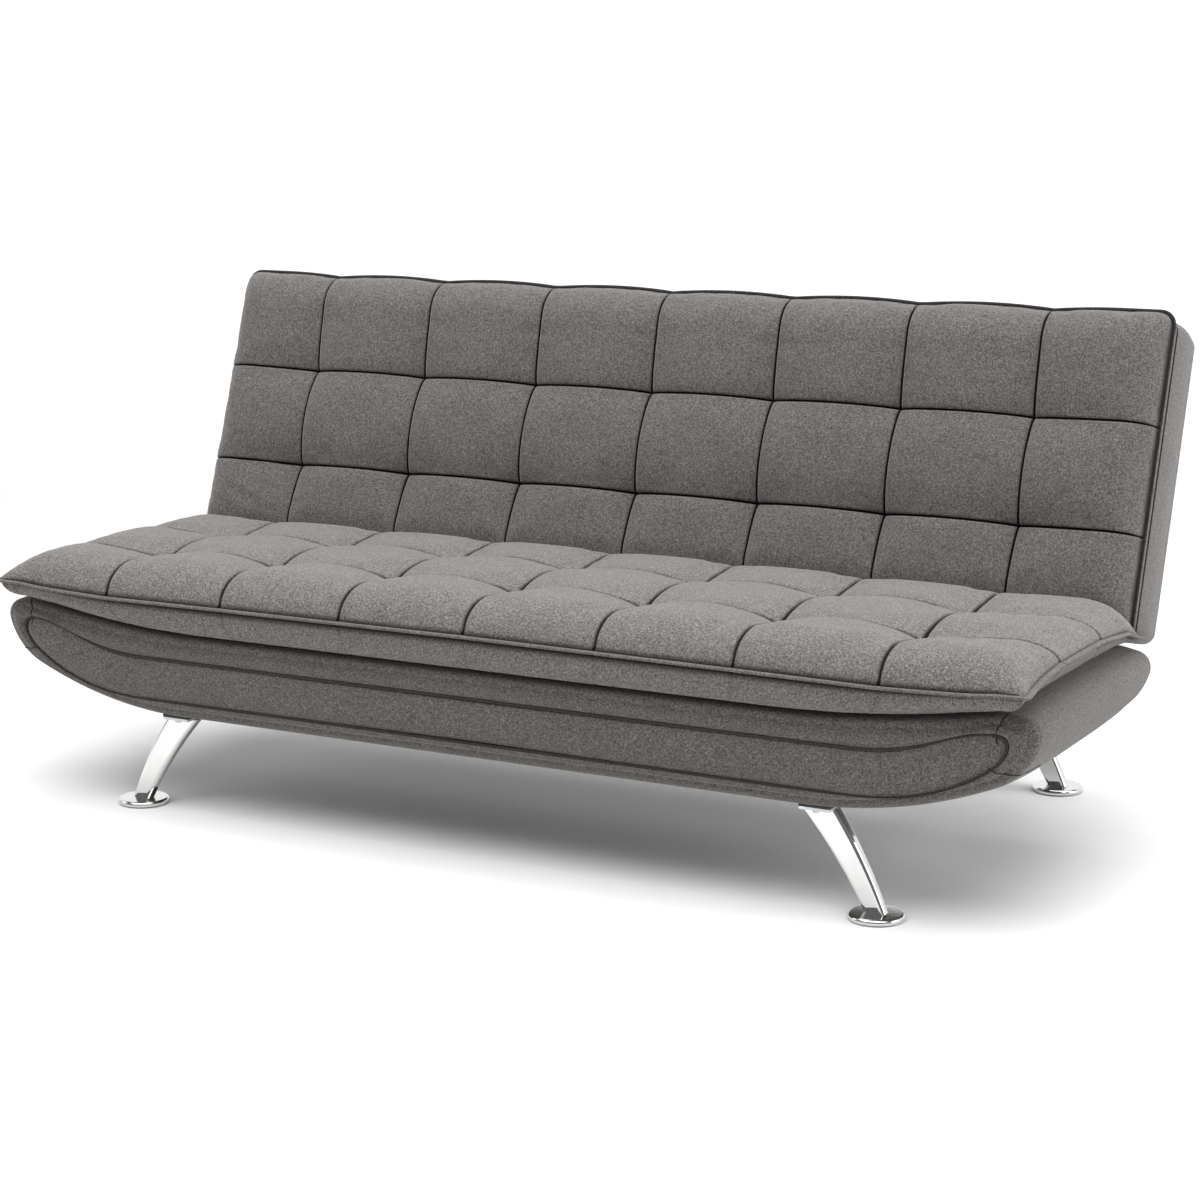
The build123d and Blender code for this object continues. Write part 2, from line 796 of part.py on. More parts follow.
with BuildPart() as back_shell:
    with BuildSketch(back_plane()):
        with Locations((0, frame_mid_s)):
            RectangleRounded(2 * back_half, shell_length, back_corner_radius)
            Rectangle(2 * inner_half, shell_length - 2 * shell_wall, mode=Mode.SUBTRACT)
    extrude(amount=-back_depth)
    # Notches in the lower wall let the hinges in.
    notch_inner = arm_inner_x - hinge_gap - pin_head_height - notch_clearance
    notch_outer = plate_inner_x + hinge_thickness + pin_head_height + notch_clearance
    with BuildSketch(back_plane()):
        with GridLocations(notch_inner + notch_outer, 1, 2, 1):
            Rectangle(notch_outer - notch_inner, 2 * shell_wall + 2 * fit_gap)
    extrude(
        amount=-(pivot_setback + eye_radius + notch_clearance), mode=Mode.SUBTRACT
    )
save(back_shell, "back_shell")

with BuildPart() as back_rear_panel:
    with BuildSketch(back_plane(-back_depth)):
        with Locations((0, frame_mid_s)):
            Rectangle(
                2 * (inner_half - fit_gap), shell_length - 2 * (shell_wall + fit_gap)
            )
    extrude(amount=rear_panel_thickness)
save(back_rear_panel, "back_rear_panel")

with BuildPart() as back_pad:
    with BuildSketch(back_side_plane(0)):
        with BuildLine():
            heel = (back_pad_gap, back_pad_gap)
            seat_meets = (back_pad_heel_depth, back_pad_heel_rise)
            low_crown = (back_pad_thickness, back_pad_rounding)
            pad_top = back_length - piping_width
            top_crown = (back_pad_thickness, pad_top - back_pad_top_rounding)
            top_shoulder = (
                back_pad_thickness - back_pad_shoulder_setback,
                pad_top - back_pad_shoulder_drop,
            )
            top = (piping_width, pad_top)
            ThreePointArc(heel, seat_meets, low_crown)
            Line(low_crown, top_crown)
            ThreePointArc(top_crown, top_shoulder, top)
            Line(top, (back_pad_gap, pad_top))
            Line((back_pad_gap, pad_top), heel)
        make_face()
    extrude(amount=back_half - piping_width + piping_proud, both=True)
save(back_pad, "back_pad")

with BuildPart() as back_piping:
    with BuildSketch(back_plane(piping_t)):
        with Locations((0, back_length / 2)):
            Rectangle(2 * (back_half + piping_proud), back_length)
        with Locations((0, back_length / 2 - piping_width)):
            Rectangle(
                2 * (back_half + piping_proud - piping_width),
                back_length,
                mode=Mode.SUBTRACT,
            )
    extrude(amount=piping_width)
save(back_piping, "back_piping")
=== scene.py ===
"""Looks for the click-clack sofa bed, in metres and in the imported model's own frame."""

import json
import math

import bmesh
import bpy
import numpy as np
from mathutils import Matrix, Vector
from mathutils.bvhtree import BVHTree


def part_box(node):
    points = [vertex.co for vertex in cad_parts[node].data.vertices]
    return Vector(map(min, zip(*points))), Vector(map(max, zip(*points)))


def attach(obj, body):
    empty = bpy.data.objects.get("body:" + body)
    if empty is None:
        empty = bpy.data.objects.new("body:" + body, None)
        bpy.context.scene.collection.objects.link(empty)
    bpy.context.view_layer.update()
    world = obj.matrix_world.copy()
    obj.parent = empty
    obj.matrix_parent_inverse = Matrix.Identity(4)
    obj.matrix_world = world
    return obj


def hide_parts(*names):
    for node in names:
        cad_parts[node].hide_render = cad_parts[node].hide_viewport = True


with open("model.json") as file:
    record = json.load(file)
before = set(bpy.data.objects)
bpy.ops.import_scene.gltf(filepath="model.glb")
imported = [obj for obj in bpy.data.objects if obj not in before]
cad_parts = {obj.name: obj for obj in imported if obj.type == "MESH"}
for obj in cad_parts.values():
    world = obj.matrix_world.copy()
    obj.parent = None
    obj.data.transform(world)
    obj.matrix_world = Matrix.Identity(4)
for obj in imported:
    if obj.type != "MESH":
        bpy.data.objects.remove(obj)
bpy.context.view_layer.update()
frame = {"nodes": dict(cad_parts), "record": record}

# ---- Places read from the frame ---------------------------------------------------------
base_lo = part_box("base_wrap")[0]
border_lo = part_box("base_front_border")[0]
rear_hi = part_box("base_rear_cover")[1]
shell_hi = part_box("back_shell")[1]
seat_lo, seat_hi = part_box("seat_pad")
pin_lo, pin_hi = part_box("hinge_pin_right")

HALF_WIDTH = 0.925
UNDERSIDE = base_lo.z
DECK = 0.308
DECK_RISE = 0.036
DECK_SWEEP = 0.350
DECK_EDGE_INSET = 0.055
BASE_FRONT = border_lo.y
BASE_REAR = rear_hi.y
PIVOT = Vector((0, (pin_lo.y + pin_hi.y) / 2, (pin_lo.z + pin_hi.z) / 2))

# ---- The backrest's own axes: x across, s up the slope, t towards the sitter ------------
TILT = math.radians(19.3)
PIVOT_SETBACK = 0.0117
UP = np.array((0, math.sin(TILT), math.cos(TILT)))
FACING = np.array((0, -math.cos(TILT), math.sin(TILT)))
BACK_ORIGIN = np.array(PIVOT) + FACING * PIVOT_SETBACK
BACK_HALF = shell_hi.x
SHELL_TOP = 0.508

# ---- The pads ---------------------------------------------------------------------------
SEAT_HALF = 0.900
SEAT_FRONT = seat_lo.y
SEAT_REAR = seat_hi.y - 0.002
SEAT_CROWN = seat_hi.z
SEAT_COLUMN = 0.2294
SEAT_ROWS = (SEAT_FRONT, -0.288, -0.101, SEAT_REAR)
SEAT_TUFT = 0.033
SEAT_SEAM = 0.0025

PAD_HALF = 0.884
BACK_COLUMN = 0.2288
PAD_TOP = 0.513
PAD_FOOT = 0.004
BACK_ROWS = (PAD_FOOT, 0.152, 0.328, PAD_TOP)
BACK_CROWN = 0.056
BACK_EDGE = 0.012
BACK_TUFT = 0.034
BACK_SEAM = 0.0055

SEAM_HALF = 0.0010
SEAM_GROOVE = 0.0030
SIM_PRESSURE = 4.0
SIM_SLACK = 0.01
SIM_CAP = 0.005
# How far each seam's weight reaches: held in the cloth, grooved and darkened; the seat's reach is
# wide, so its darkening paints shade beside the seams.
SEAT_LINE = 0.0046
BACK_LINE = 0.0019


def back_point(x, s, t):
    """World places of points given in the backrest's own axes."""
    x, s, t = np.broadcast_arrays(x, s, t)
    place = BACK_ORIGIN + s[..., None] * UP + t[..., None] * FACING
    place[..., 0] = x
    return place


# ---- Mesh helpers -----------------------------------------------------------------------
def make_mesh(name, points, faces, material, outward=True):
    """A new smooth object from points and faces, wearing one material. outward turns every
    face out, as a closed mesh needs."""
    mesh = bpy.data.meshes.new(name)
    mesh.from_pydata(np.asarray(points).tolist(), [], faces)
    if outward:
        whole = bmesh.new()
        whole.from_mesh(mesh)
        bmesh.ops.recalc_face_normals(whole, faces=whole.faces)
        whole.to_mesh(mesh)
        whole.free()
    piece = bpy.data.objects.new(name, mesh)
    bpy.context.scene.collection.objects.link(piece)
    mesh.materials.append(material)
    mesh.shade_smooth()
    return piece


def grid_faces(rows, columns, first=0, wrap=False):
    """Quads of a grid of points stored row by row; wrap joins the last column to the first."""
    faces = []
    for r in range(rows - 1):
        for c in range(columns if wrap else columns - 1):
            after = (c + 1) % columns
            low, high = first + r * columns, first + (r + 1) * columns
            faces.append((low + c, high + c, high + after, low + after))
    return faces


def tube(name, path, radius, material, closed=False, ring=10, squash=1.0, up=(0, 0, 1)):
    """A cord swept along a path of points, with one radius or one at each point. squash
    widens it across up."""
    path = np.asarray(path, float)
    radius = np.broadcast_to(radius, len(path))[:, None, None]
    ahead = np.roll(path, -1, 0) - np.roll(path, 1, 0)
    if not closed:
        ahead[0], ahead[-1] = path[1] - path[0], path[-1] - path[-2]
    ahead /= np.linalg.norm(ahead, axis=1)[:, None]
    side = np.cross(ahead, np.asarray(up, float))
    side /= np.linalg.norm(side, axis=1)[:, None]
    rise = np.cross(side, ahead)
    turns = np.arange(ring) * 2 * math.pi / ring
    points = (
        path[:, None]
        + radius * squash * np.cos(turns)[:, None] * side[:, None]
        + radius * np.sin(turns)[:, None] * rise[:, None]
    ).reshape(-1, 3)
    count = len(path)
    faces = grid_faces(count, ring, wrap=True)
    if closed:
        last = (count - 1) * ring
        for c in range(ring):
            faces.append((last + c, last + (c + 1) % ring, (c + 1) % ring, c))
    else:
        faces.append(tuple(range(ring))[::-1])
        faces.append(tuple(range((count - 1) * ring, count * ring)))
    return make_mesh(name, points, faces, material)


def mark_seams_and_shade(piece, weights):
    """Stores how much the fabric's shader darkens each point: dark thread and painted shade along
    seams and pad edges, and painted shade on cords.
    """
    layer = piece.data.attributes.new("seam", "FLOAT", "POINT")
    layer.data.foreach_set("value", np.asarray(weights, np.float32).ravel())


# ---- Materials --------------------------------------------------------------------------
def adjust(made, **values):
    """Sets a shader node's inputs, or its own settings, by name, and returns it."""
    for key, value in values.items():
        name = key.replace("_", " ")
        if name in made.inputs:
            made.inputs[name].default_value = value
        else:
            setattr(made, key, value)
    return made


def node(tree, kind, **values):
    """A new shader node with its inputs and settings set by name."""
    return adjust(tree.nodes.new(kind), **values)


def emboss(tree, shader, height, strength, distance):
    """Gives a shader, or another bump, a new bump that follows height."""
    bump = node(tree, "ShaderNodeBump", Strength=strength, Distance=distance)
    tree.links.new(height, bump.inputs["Height"])
    tree.links.new(bump.outputs["Normal"], shader.inputs["Normal"])
    return bump


def new_material(name):
    """An empty material: returns it, its tree, its Principled shader and object coordinates."""
    material = bpy.data.materials.new(name)
    material.use_nodes = True
    tree = material.node_tree
    shader = tree.nodes["Principled BSDF"]
    place = tree.nodes.new("ShaderNodeTexCoord")
    return material, tree, shader, place.outputs["Object"]


def ramp(tree, factor, stops):
    """A colour ramp through (place, colour) stops."""
    made = tree.nodes.new("ShaderNodeValToRGB")
    steps = made.color_ramp.elements
    while len(steps) < len(stops):
        steps.new(0.5)
    for step, (place, colour) in zip(steps, stops):
        step.position = place
        step.color = (*colour, 1)
    tree.links.new(factor, made.inputs["Fac"])
    return made.outputs["Color"]


def stretched(tree, coordinates, scale):
    """Object coordinates scaled apart along each axis."""
    mapping = node(tree, "ShaderNodeMapping", Scale=scale)
    tree.links.new(coordinates, mapping.inputs["Vector"])
    return mapping.outputs["Vector"]


def noise(tree, coordinates, scale, detail=2.0, roughness=0.5):
    """A noise texture's factor."""
    made = node(
        tree, "ShaderNodeTexNoise", Scale=scale, Detail=detail, Roughness=roughness
    )
    tree.links.new(coordinates, made.inputs["Vector"])
    return made.outputs["Fac"]


def blend_colours(tree, kind, factor, first, second):
    """Two colours mixed; factor is a number or a socket."""
    mix = node(tree, "ShaderNodeMix", data_type="RGBA", blend_type=kind)
    if isinstance(factor, float):
        mix.inputs["Factor"].default_value = factor
    else:
        tree.links.new(factor, mix.inputs["Factor"])
    for socket, colour in ((mix.inputs["A"], first), (mix.inputs["B"], second)):
        if isinstance(colour, tuple):
            socket.default_value = (*colour, 1)
        else:
            tree.links.new(colour, socket)
    return mix.outputs["Result"]


def woven_fabric(name, dark, middle, light, seamed=True, thread=0.0011):
    """Marled plain-weave upholstery: yarns of mixed shades, a fine weave, a soft sheen."""
    material, tree, shader, place = new_material(name)
    warp = noise(tree, stretched(tree, place, (1.0, 1.0, 0.35)), 1 / thread, 3, 0.6)
    weft = noise(tree, stretched(tree, place, (0.35, 0.6, 1.0)), 1 / thread, 3, 0.6)
    yarn = node(tree, "ShaderNodeMath", operation="ADD")
    tree.links.new(warp, yarn.inputs[0])
    tree.links.new(weft, yarn.inputs[1])
    half = node(tree, "ShaderNodeMath", operation="MULTIPLY")
    half.inputs[1].default_value = 0.5
    tree.links.new(yarn.outputs[0], half.inputs[0])
    marl = ramp(tree, half.outputs[0], [(0.34, dark), (0.5, middle), (0.68, light)])
    cloud = ramp(
        tree,
        noise(tree, place, 42.0, 4, 0.65),
        [(0.3, (0.92, 0.92, 0.92)), (0.7, (1.06, 1.055, 1.05))],
    )
    fleck = ramp(
        tree,
        noise(tree, place, 300.0, 2, 0.55),
        [(0.30, (0.55, 0.55, 0.55)), (0.5, (1.0, 1.0, 1.0)), (0.7, (1.5, 1.48, 1.45))],
    )
    colour = blend_colours(tree, "MULTIPLY", 0.75, marl, cloud)
    colour = blend_colours(tree, "MULTIPLY", 0.9, colour, fleck)
    # Where seamed, the seam attribute mixes in near-black: dark thread and painted shade in seam
    # grooves, along pad edges and on cords.
    if seamed:
        seam = node(tree, "ShaderNodeAttribute", attribute_name="seam")
        colour = blend_colours(
            tree, "MIX", seam.outputs["Fac"], colour, (0.006, 0.0055, 0.005)
        )
    tree.links.new(colour, shader.inputs["Base Color"])
    adjust(shader, Roughness=0.92, Specular_IOR_Level=0.12, Sheen_Weight=0.22, Sheen_Roughness=0.45)
    weave = emboss(tree, shader, half.outputs[0], 0.55, 0.0009)
    emboss(tree, weave, noise(tree, place, 16.0, 3, 0.55), 0.35, 0.004)
    return material


def lining_cloth(name):
    """Thin black non-woven lining with pressed dots and faint creases."""
    material, tree, shader, place = new_material(name)
    dots = node(tree, "ShaderNodeTexVoronoi", Scale=420.0)
    tree.links.new(place, dots.inputs["Vector"])
    colour = ramp(
        tree,
        dots.outputs["Distance"],
        [(0.05, (0.010, 0.010, 0.010)), (0.5, (0.030, 0.029, 0.028))],
    )
    tree.links.new(colour, shader.inputs["Base Color"])
    adjust(shader, Roughness=0.85)
    emboss(tree, shader, noise(tree, place, 7.0, 6, 0.65), 0.8, 0.006)
    return material


def chrome_plate(name):
    """Polished chrome with faint smudges and a few fine scratches."""
    material, tree, shader, place = new_material(name)
    smudge = noise(tree, place, 26.0, 4, 0.6)
    shine = ramp(tree, smudge, [(0.35, (0.035,) * 3), (0.75, (0.10,) * 3)])
    tint = ramp(tree, smudge, [(0.3, (0.70, 0.70, 0.69)), (0.8, (0.62, 0.62, 0.61))])
    tree.links.new(tint, shader.inputs["Base Color"])
    tree.links.new(shine, shader.inputs["Roughness"])
    adjust(shader, Metallic=1.0)
    scratch = noise(tree, stretched(tree, place, (1.0, 1.0, 0.05)), 900.0, 2, 0.5)
    emboss(tree, shader, scratch, 0.03, 0.001)
    return material


def plated_steel(name, bright, rough, fine=700.0):
    """Zinc-plated or bare steel with a fine grain and a blotchy finish."""
    material, tree, shader, place = new_material(name)
    grain = noise(tree, stretched(tree, place, (0.05, 1.0, 1.0)), fine, 3, 0.6)
    blotch = noise(tree, place, 60.0, 4, 0.6)
    dull = tuple(c * 0.72 for c in bright)
    tree.links.new(
        ramp(tree, blotch, [(0.3, dull), (0.7, bright)]), shader.inputs["Base Color"]
    )
    shine = ramp(tree, grain, [(0.3, (rough,) * 3), (0.7, (rough + 0.15,) * 3)])
    tree.links.new(shine, shader.inputs["Roughness"])
    adjust(shader, Metallic=1.0)
    return material


def powder_coat(name, colour):
    """Black powder coat with its orange-peel texture and slightly rubbed highlights."""
    material, tree, shader, place = new_material(name)
    worn = tuple(c * 1.9 for c in colour)
    tint = ramp(tree, noise(tree, place, 35.0, 5, 0.7), [(0.45, colour), (0.85, worn)])
    tree.links.new(tint, shader.inputs["Base Color"])
    adjust(shader, Roughness=0.42)
    emboss(tree, shader, noise(tree, place, 950.0, 1, 0.5), 0.25, 0.0006)
    return material


def timber(name):
    """Sawn pale timber and plywood: long grain, rings and darker flecks."""
    material, tree, shader, place = new_material(name)
    along = stretched(tree, place, (0.12, 1.0, 1.0))
    rings = node(tree, "ShaderNodeTexWave", Scale=38.0, Distortion=7.0, Detail=3.0)
    rings.bands_direction = "Z"
    tree.links.new(along, rings.inputs["Vector"])
    grain = ramp(
        tree,
        rings.outputs["Fac"],
        [(0.1, (0.34, 0.22, 0.12)), (0.8, (0.56, 0.41, 0.25))],
    )
    fleck = ramp(
        tree, noise(tree, along, 500.0, 3, 0.6), [(0.4, (0.75,) * 3), (0.6, (1.0,) * 3)]
    )
    tree.links.new(
        blend_colours(tree, "MULTIPLY", 0.8, grain, fleck), shader.inputs["Base Color"]
    )
    adjust(shader, Roughness=0.7)
    return material


def moulded(name, colour, rough):
    """Moulded black plastic or rubber with a fine spark-eroded texture."""
    material, tree, shader, place = new_material(name)
    pale = tuple(c * 1.6 for c in colour)
    tint = ramp(tree, noise(tree, place, 80.0, 3, 0.6), [(0.35, colour), (0.8, pale)])
    tree.links.new(tint, shader.inputs["Base Color"])
    adjust(shader, Roughness=rough)
    emboss(tree, shader, noise(tree, place, 1600.0, 1, 0.5), 0.3, 0.0004)
    return material


# One fabric in three copies: the back's and the base's are darker than the seat's as painted shade,
# for faces that get less light.
seat_cloth = woven_fabric(
    "seat_weave", (0.052, 0.048, 0.045), (0.150, 0.141, 0.134), (0.30, 0.285, 0.272)
)
back_cloth_shaded = woven_fabric(
    "back_weave_shaded", (0.050, 0.046, 0.044), (0.118, 0.110, 0.106), (0.215, 0.203, 0.195)
)
base_cloth_shaded = woven_fabric(
    "base_weave_shaded", (0.038, 0.035, 0.032), (0.104, 0.097, 0.091), (0.21, 0.197, 0.187)
)
piping_cloth = woven_fabric(
    "piping_weave",
    (0.010, 0.010, 0.010),
    (0.022, 0.021, 0.021),
    (0.05, 0.048, 0.047),
    seamed=False,
)
lining = lining_cloth("lining")
chrome = chrome_plate("chrome_plate")
zinc = plated_steel("zinc_plate", (0.62, 0.63, 0.64), 0.3)
spring_steel = plated_steel("spring_wire", (0.30, 0.30, 0.31), 0.4)
frame_coat = powder_coat("frame_coat", (0.012, 0.012, 0.013))
pine = timber("frame_timber")
black_plastic = moulded("black_plastic", (0.012, 0.012, 0.012), 0.55)
bumper_rubber = moulded("bumper_rubber", (0.014, 0.014, 0.014), 0.8)


# ---- Tufting ----------------------------------------------------------------------------
def cell_place(values, edges):
    """How far each value is through its cell between seams, as two curves: how pillowed it
    is (0 on a seam) and how lifted the seams that cross it are (0 at a tuft). The first and
    last cells have a seam on one side only."""
    edges = np.asarray(edges)
    index = np.clip(np.searchsorted(edges, values, "right") - 1, 0, len(edges) - 2)
    share = (values - edges[index]) / (edges[index + 1] - edges[index])
    share = np.clip(share, 0, 1)
    share = np.where(index == 0, 0.5 + share / 2, share)
    share = np.where(index == len(edges) - 2, np.where(index == 0, share, share / 2), share)
    pillow = (4 * share * (1 - share)) ** 0.50
    lift = np.sin(np.pi * share) ** 0.55
    return pillow, lift


def tuft_depth(a, b, a_edges, b_edges, tuft, seam):
    """Depth below the crown of every point of the grid a x b."""
    pillow_a, lift_a = cell_place(a, a_edges)
    pillow_b, lift_b = cell_place(b, b_edges)
    plain = 1 - pillow_a[:, None] * pillow_b[None, :]
    tie = (1 - lift_a)[:, None] * (1 - lift_b)[None, :]
    return seam * plain + (tuft - seam) * tie


def stops(edges, step, seams, line):
    """Grid values between edges about a step apart, crowded beside the seams."""
    values = []
    for low, high in zip(edges[:-1], edges[1:]):
        count = max(2, round((high - low) / step))
        values.extend(np.linspace(low, high, count + 1)[:-1])
    values.append(edges[-1])
    values = [v for v in values if all(abs(v - s) > 0.013 for s in seams)]
    for s in seams:
        values.append(s)
        for gap in (SEAM_HALF, line, 0.0055, 0.010):
            values.extend((s - gap, s + gap))
    return np.array(sorted(values))


def seam_weight(a, b, a_seams, b_seams, line):
    """1 on the stitched lines and 0 beside them, over the grid a x b."""
    near_a = np.min(np.abs(a[:, None] - np.asarray(a_seams)), axis=1)
    near_b = np.min(np.abs(b[:, None] - np.asarray(b_seams)), axis=1)
    near = np.minimum(near_a[:, None], near_b[None, :])
    return np.clip((line - near) / (line - SEAM_HALF), 0, 1)


def grid_normals(points):
    """Unit normals of a grid of points."""
    along = np.gradient(points, axis=0)
    across = np.gradient(points, axis=1)
    normals = np.cross(along, across)
    return normals / np.linalg.norm(normals, axis=2)[..., None]


def inflate(name, points, held):
    """Blows a grid of cloth up from its seams with Blender's cloth, and returns how far each
    point moved, at most SIM_CAP. held is 1 where the cloth is sewn down."""
    rows, columns = points.shape[:2]
    piece = make_mesh(
        name, points.reshape(-1, 3), grid_faces(rows, columns), lining, outward=False
    )
    group = piece.vertex_groups.new(name="sewn")
    for i, weight in enumerate(held.ravel()):
        if weight > 0:
            group.add([i], float(weight), "REPLACE")
    cloth = piece.modifiers.new("cloth", "CLOTH")
    settings = cloth.settings
    settings.quality = 6
    settings.mass = 0.3
    settings.tension_stiffness = 18
    settings.compression_stiffness = 18
    settings.shear_stiffness = 6
    settings.bending_stiffness = 0.35
    settings.tension_damping = 12
    settings.compression_damping = 12
    settings.air_damping = 3
    settings.shrink_min = -SIM_SLACK
    settings.vertex_group_mass = "sewn"
    settings.use_pressure = True
    settings.uniform_pressure_force = SIM_PRESSURE
    settings.effector_weights.gravity = 0
    cloth.collision_settings.use_collision = False
    cloth.point_cache.frame_start = 1
    cloth.point_cache.frame_end = 20
    for step in range(1, 21):
        bpy.context.scene.frame_set(step)
    shaped = piece.evaluated_get(bpy.context.evaluated_depsgraph_get())
    after = np.empty(rows * columns * 3)
    shaped.data.vertices.foreach_get("co", after)
    moved = after.reshape(rows, columns, 3) - points
    far = np.linalg.norm(moved, axis=2)
    moved *= np.minimum(1, SIM_CAP / np.maximum(far, 1e-9))[..., None]
    print(f"{name}: cloth moved up to {far.max() * 1000:.1f} mm")
    bpy.context.scene.frame_set(1)
    bpy.data.objects.remove(piece)
    return moved


def resample(field, a_from, b_from, a_to, b_to):
    """A grid field read at other grid values."""
    by_a = np.apply_along_axis(lambda line: np.interp(a_to, a_from, line), 0, field)
    return np.apply_along_axis(lambda line: np.interp(b_to, b_from, line), 1, by_a)


def tufted_surface(name, shape, a_edges, b_edges, fade, tuft, seam, line):
    """The sewn top of a tufted pad: shape(a, b) gives its crown, which is pulled down along
    the seams, blown up as cloth between them, and grooved where it is stitched."""

    def pulled(a, b):
        crown = shape(a, b)
        depth = tuft_depth(a, b, a_edges, b_edges, tuft, seam) * fade(a, b)
        return crown - grid_normals(crown) * depth[..., None]

    a_seams, b_seams = a_edges[1:-1], b_edges[1:-1]
    a = stops(a_edges, 0.009, a_seams, line)
    b = stops(b_edges, 0.009, b_seams, line)
    points = pulled(a, b)
    a_sim = np.concatenate(
        [np.linspace(p, q, 18)[:-1] for p, q in zip(a_edges, a_edges[1:])]
        + [a_edges[-1:]]
    )
    b_sim = np.concatenate(
        [np.linspace(p, q, 15)[:-1] for p, q in zip(b_edges, b_edges[1:])]
        + [b_edges[-1:]]
    )
    held = seam_weight(a_sim, b_sim, a_seams, b_seams, line)
    held[[0, -1], :] = 1
    held[:, [0, -1]] = 1
    start = pulled(a_sim, b_sim)
    moved = inflate(name + "_sim", start, held)
    points += resample(moved, a_sim, b_sim, a, b)
    # These weights also darken the fabric: dark thread and painted shade beside the seams.
    stitched = seam_weight(a, b, a_seams, b_seams, line)
    points -= grid_normals(points) * (stitched * SEAM_GROOVE)[..., None]
    return points, stitched


def perimeter(rows, columns):
    """Indices round the edge of a grid, in order."""
    front = [(i, 0) for i in range(rows)]
    right = [(rows - 1, j) for j in range(1, columns)]
    rear = [(i, columns - 1) for i in range(rows - 2, -1, -1)]
    left = [(0, j) for j in range(columns - 2, 0, -1)]
    return front + right + rear + left


# ---- Outlines of the base ---------------------------------------------------------------
def deck_height(x):
    """Height of the line between the base and the seat pad: it sweeps up to the ends."""
    edge = HALF_WIDTH - DECK_EDGE_INSET
    run = DECK_SWEEP
    flat = edge - run
    radius = (run**2 + DECK_RISE**2) / (2 * DECK_RISE)
    over = np.clip(np.abs(x) - flat, 0, run)
    return DECK + radius - np.sqrt(radius**2 - over**2)


def arc_to(start, end, heading, count):
    """Points of the arc from start to end that sets off along heading, and its last heading."""
    start, end = np.asarray(start, float), np.asarray(end, float)
    chord = end - start
    aim = math.atan2(chord[1], chord[0])
    turn = 2 * ((aim - heading + math.pi) % (2 * math.pi) - math.pi)
    shares = np.linspace(0, 1, count + 1)[1:]
    length = np.linalg.norm(chord)
    if abs(turn) < 1e-6:
        return start + shares[:, None] * chord, heading
    radius = length / (2 * math.sin(turn / 2))
    centre = start + radius * np.array((-math.sin(heading), math.cos(heading)))
    angles = heading + turn * shares
    points = centre + radius * np.stack([np.sin(angles), -np.cos(angles)], -1)
    return points, heading + turn


def even(points, count):
    """A polyline read at evenly spaced places along its length."""
    points = np.asarray(points, float)
    steps = np.linalg.norm(np.diff(points, axis=0), axis=1)
    length = np.concatenate([[0], np.cumsum(steps)])
    at = np.linspace(0, length[-1], count)
    return np.stack([np.interp(at, length, points[:, k]) for k in range(2)], -1)


QUARTER = 110
END_SWEEP = 0.365
END_LOWER_INSET = 0.065
END_LOWER_RISE = 0.063
END_TIP_RISE = 0.139
END_TOP_INSET = 0.025
END_TOP_RISE = 0.177


def base_quarters():
    """The base's right half outline (x, z) as two runs: deck centre to tip, tip to underside."""
    sweep = (HALF_WIDTH - END_SWEEP, UNDERSIDE)
    belly = (HALF_WIDTH - END_LOWER_INSET, UNDERSIDE + END_LOWER_RISE)
    tip = (HALF_WIDTH, UNDERSIDE + END_TIP_RISE)
    shoulder = (HALF_WIDTH - END_TOP_INSET, UNDERSIDE + END_TOP_RISE)
    lower, heading = arc_to(sweep, belly, 0.0, 30)
    nose, heading = arc_to(lower[-1], tip, heading, 24)
    lip, heading = arc_to(tip, shoulder, heading, 16)
    deck_x = np.linspace(0, HALF_WIDTH - DECK_EDGE_INSET, 60)
    deck = np.stack([deck_x, deck_height(deck_x)], -1)
    top = np.concatenate([deck, lip[::-1], [tip]])
    low = np.concatenate([[tip], nose[:-1][::-1], lower[::-1], [sweep], [(0, UNDERSIDE)]])
    return even(top, QUARTER), even(low, QUARTER)


def bezier(p0, p1, p2, p3, count):
    """Points of a cubic Bezier curve."""
    t = np.linspace(0, 1, count)[:, None]
    p0, p1, p2, p3 = map(np.asarray, (p0, p1, p2, p3))
    return (
        (1 - t) ** 3 * p0
        + 3 * (1 - t) ** 2 * t * p1
        + 3 * (1 - t) * t**2 * p2
        + t**3 * p3
    )


PANEL_MARGIN = 0.047
PANEL_LOW = 0.031
PANEL_HEIGHT = 0.071
PANEL_SWEEP = 0.238
PANEL_RISE = 0.046
PANEL_SHOULDER = 0.028
PANEL_CHIN = (0.031, 0.011)
PANEL_BEND = 0.113
PANEL_OVER_PULLS = ((0.028, 0.012), (0.060, 0.003))
PANEL_NOSE_PULLS = ((0.010, 0.048), (0.007, 0.015))
PANEL_BELLY_PULLS = ((0.091, 0.052), 0.158)


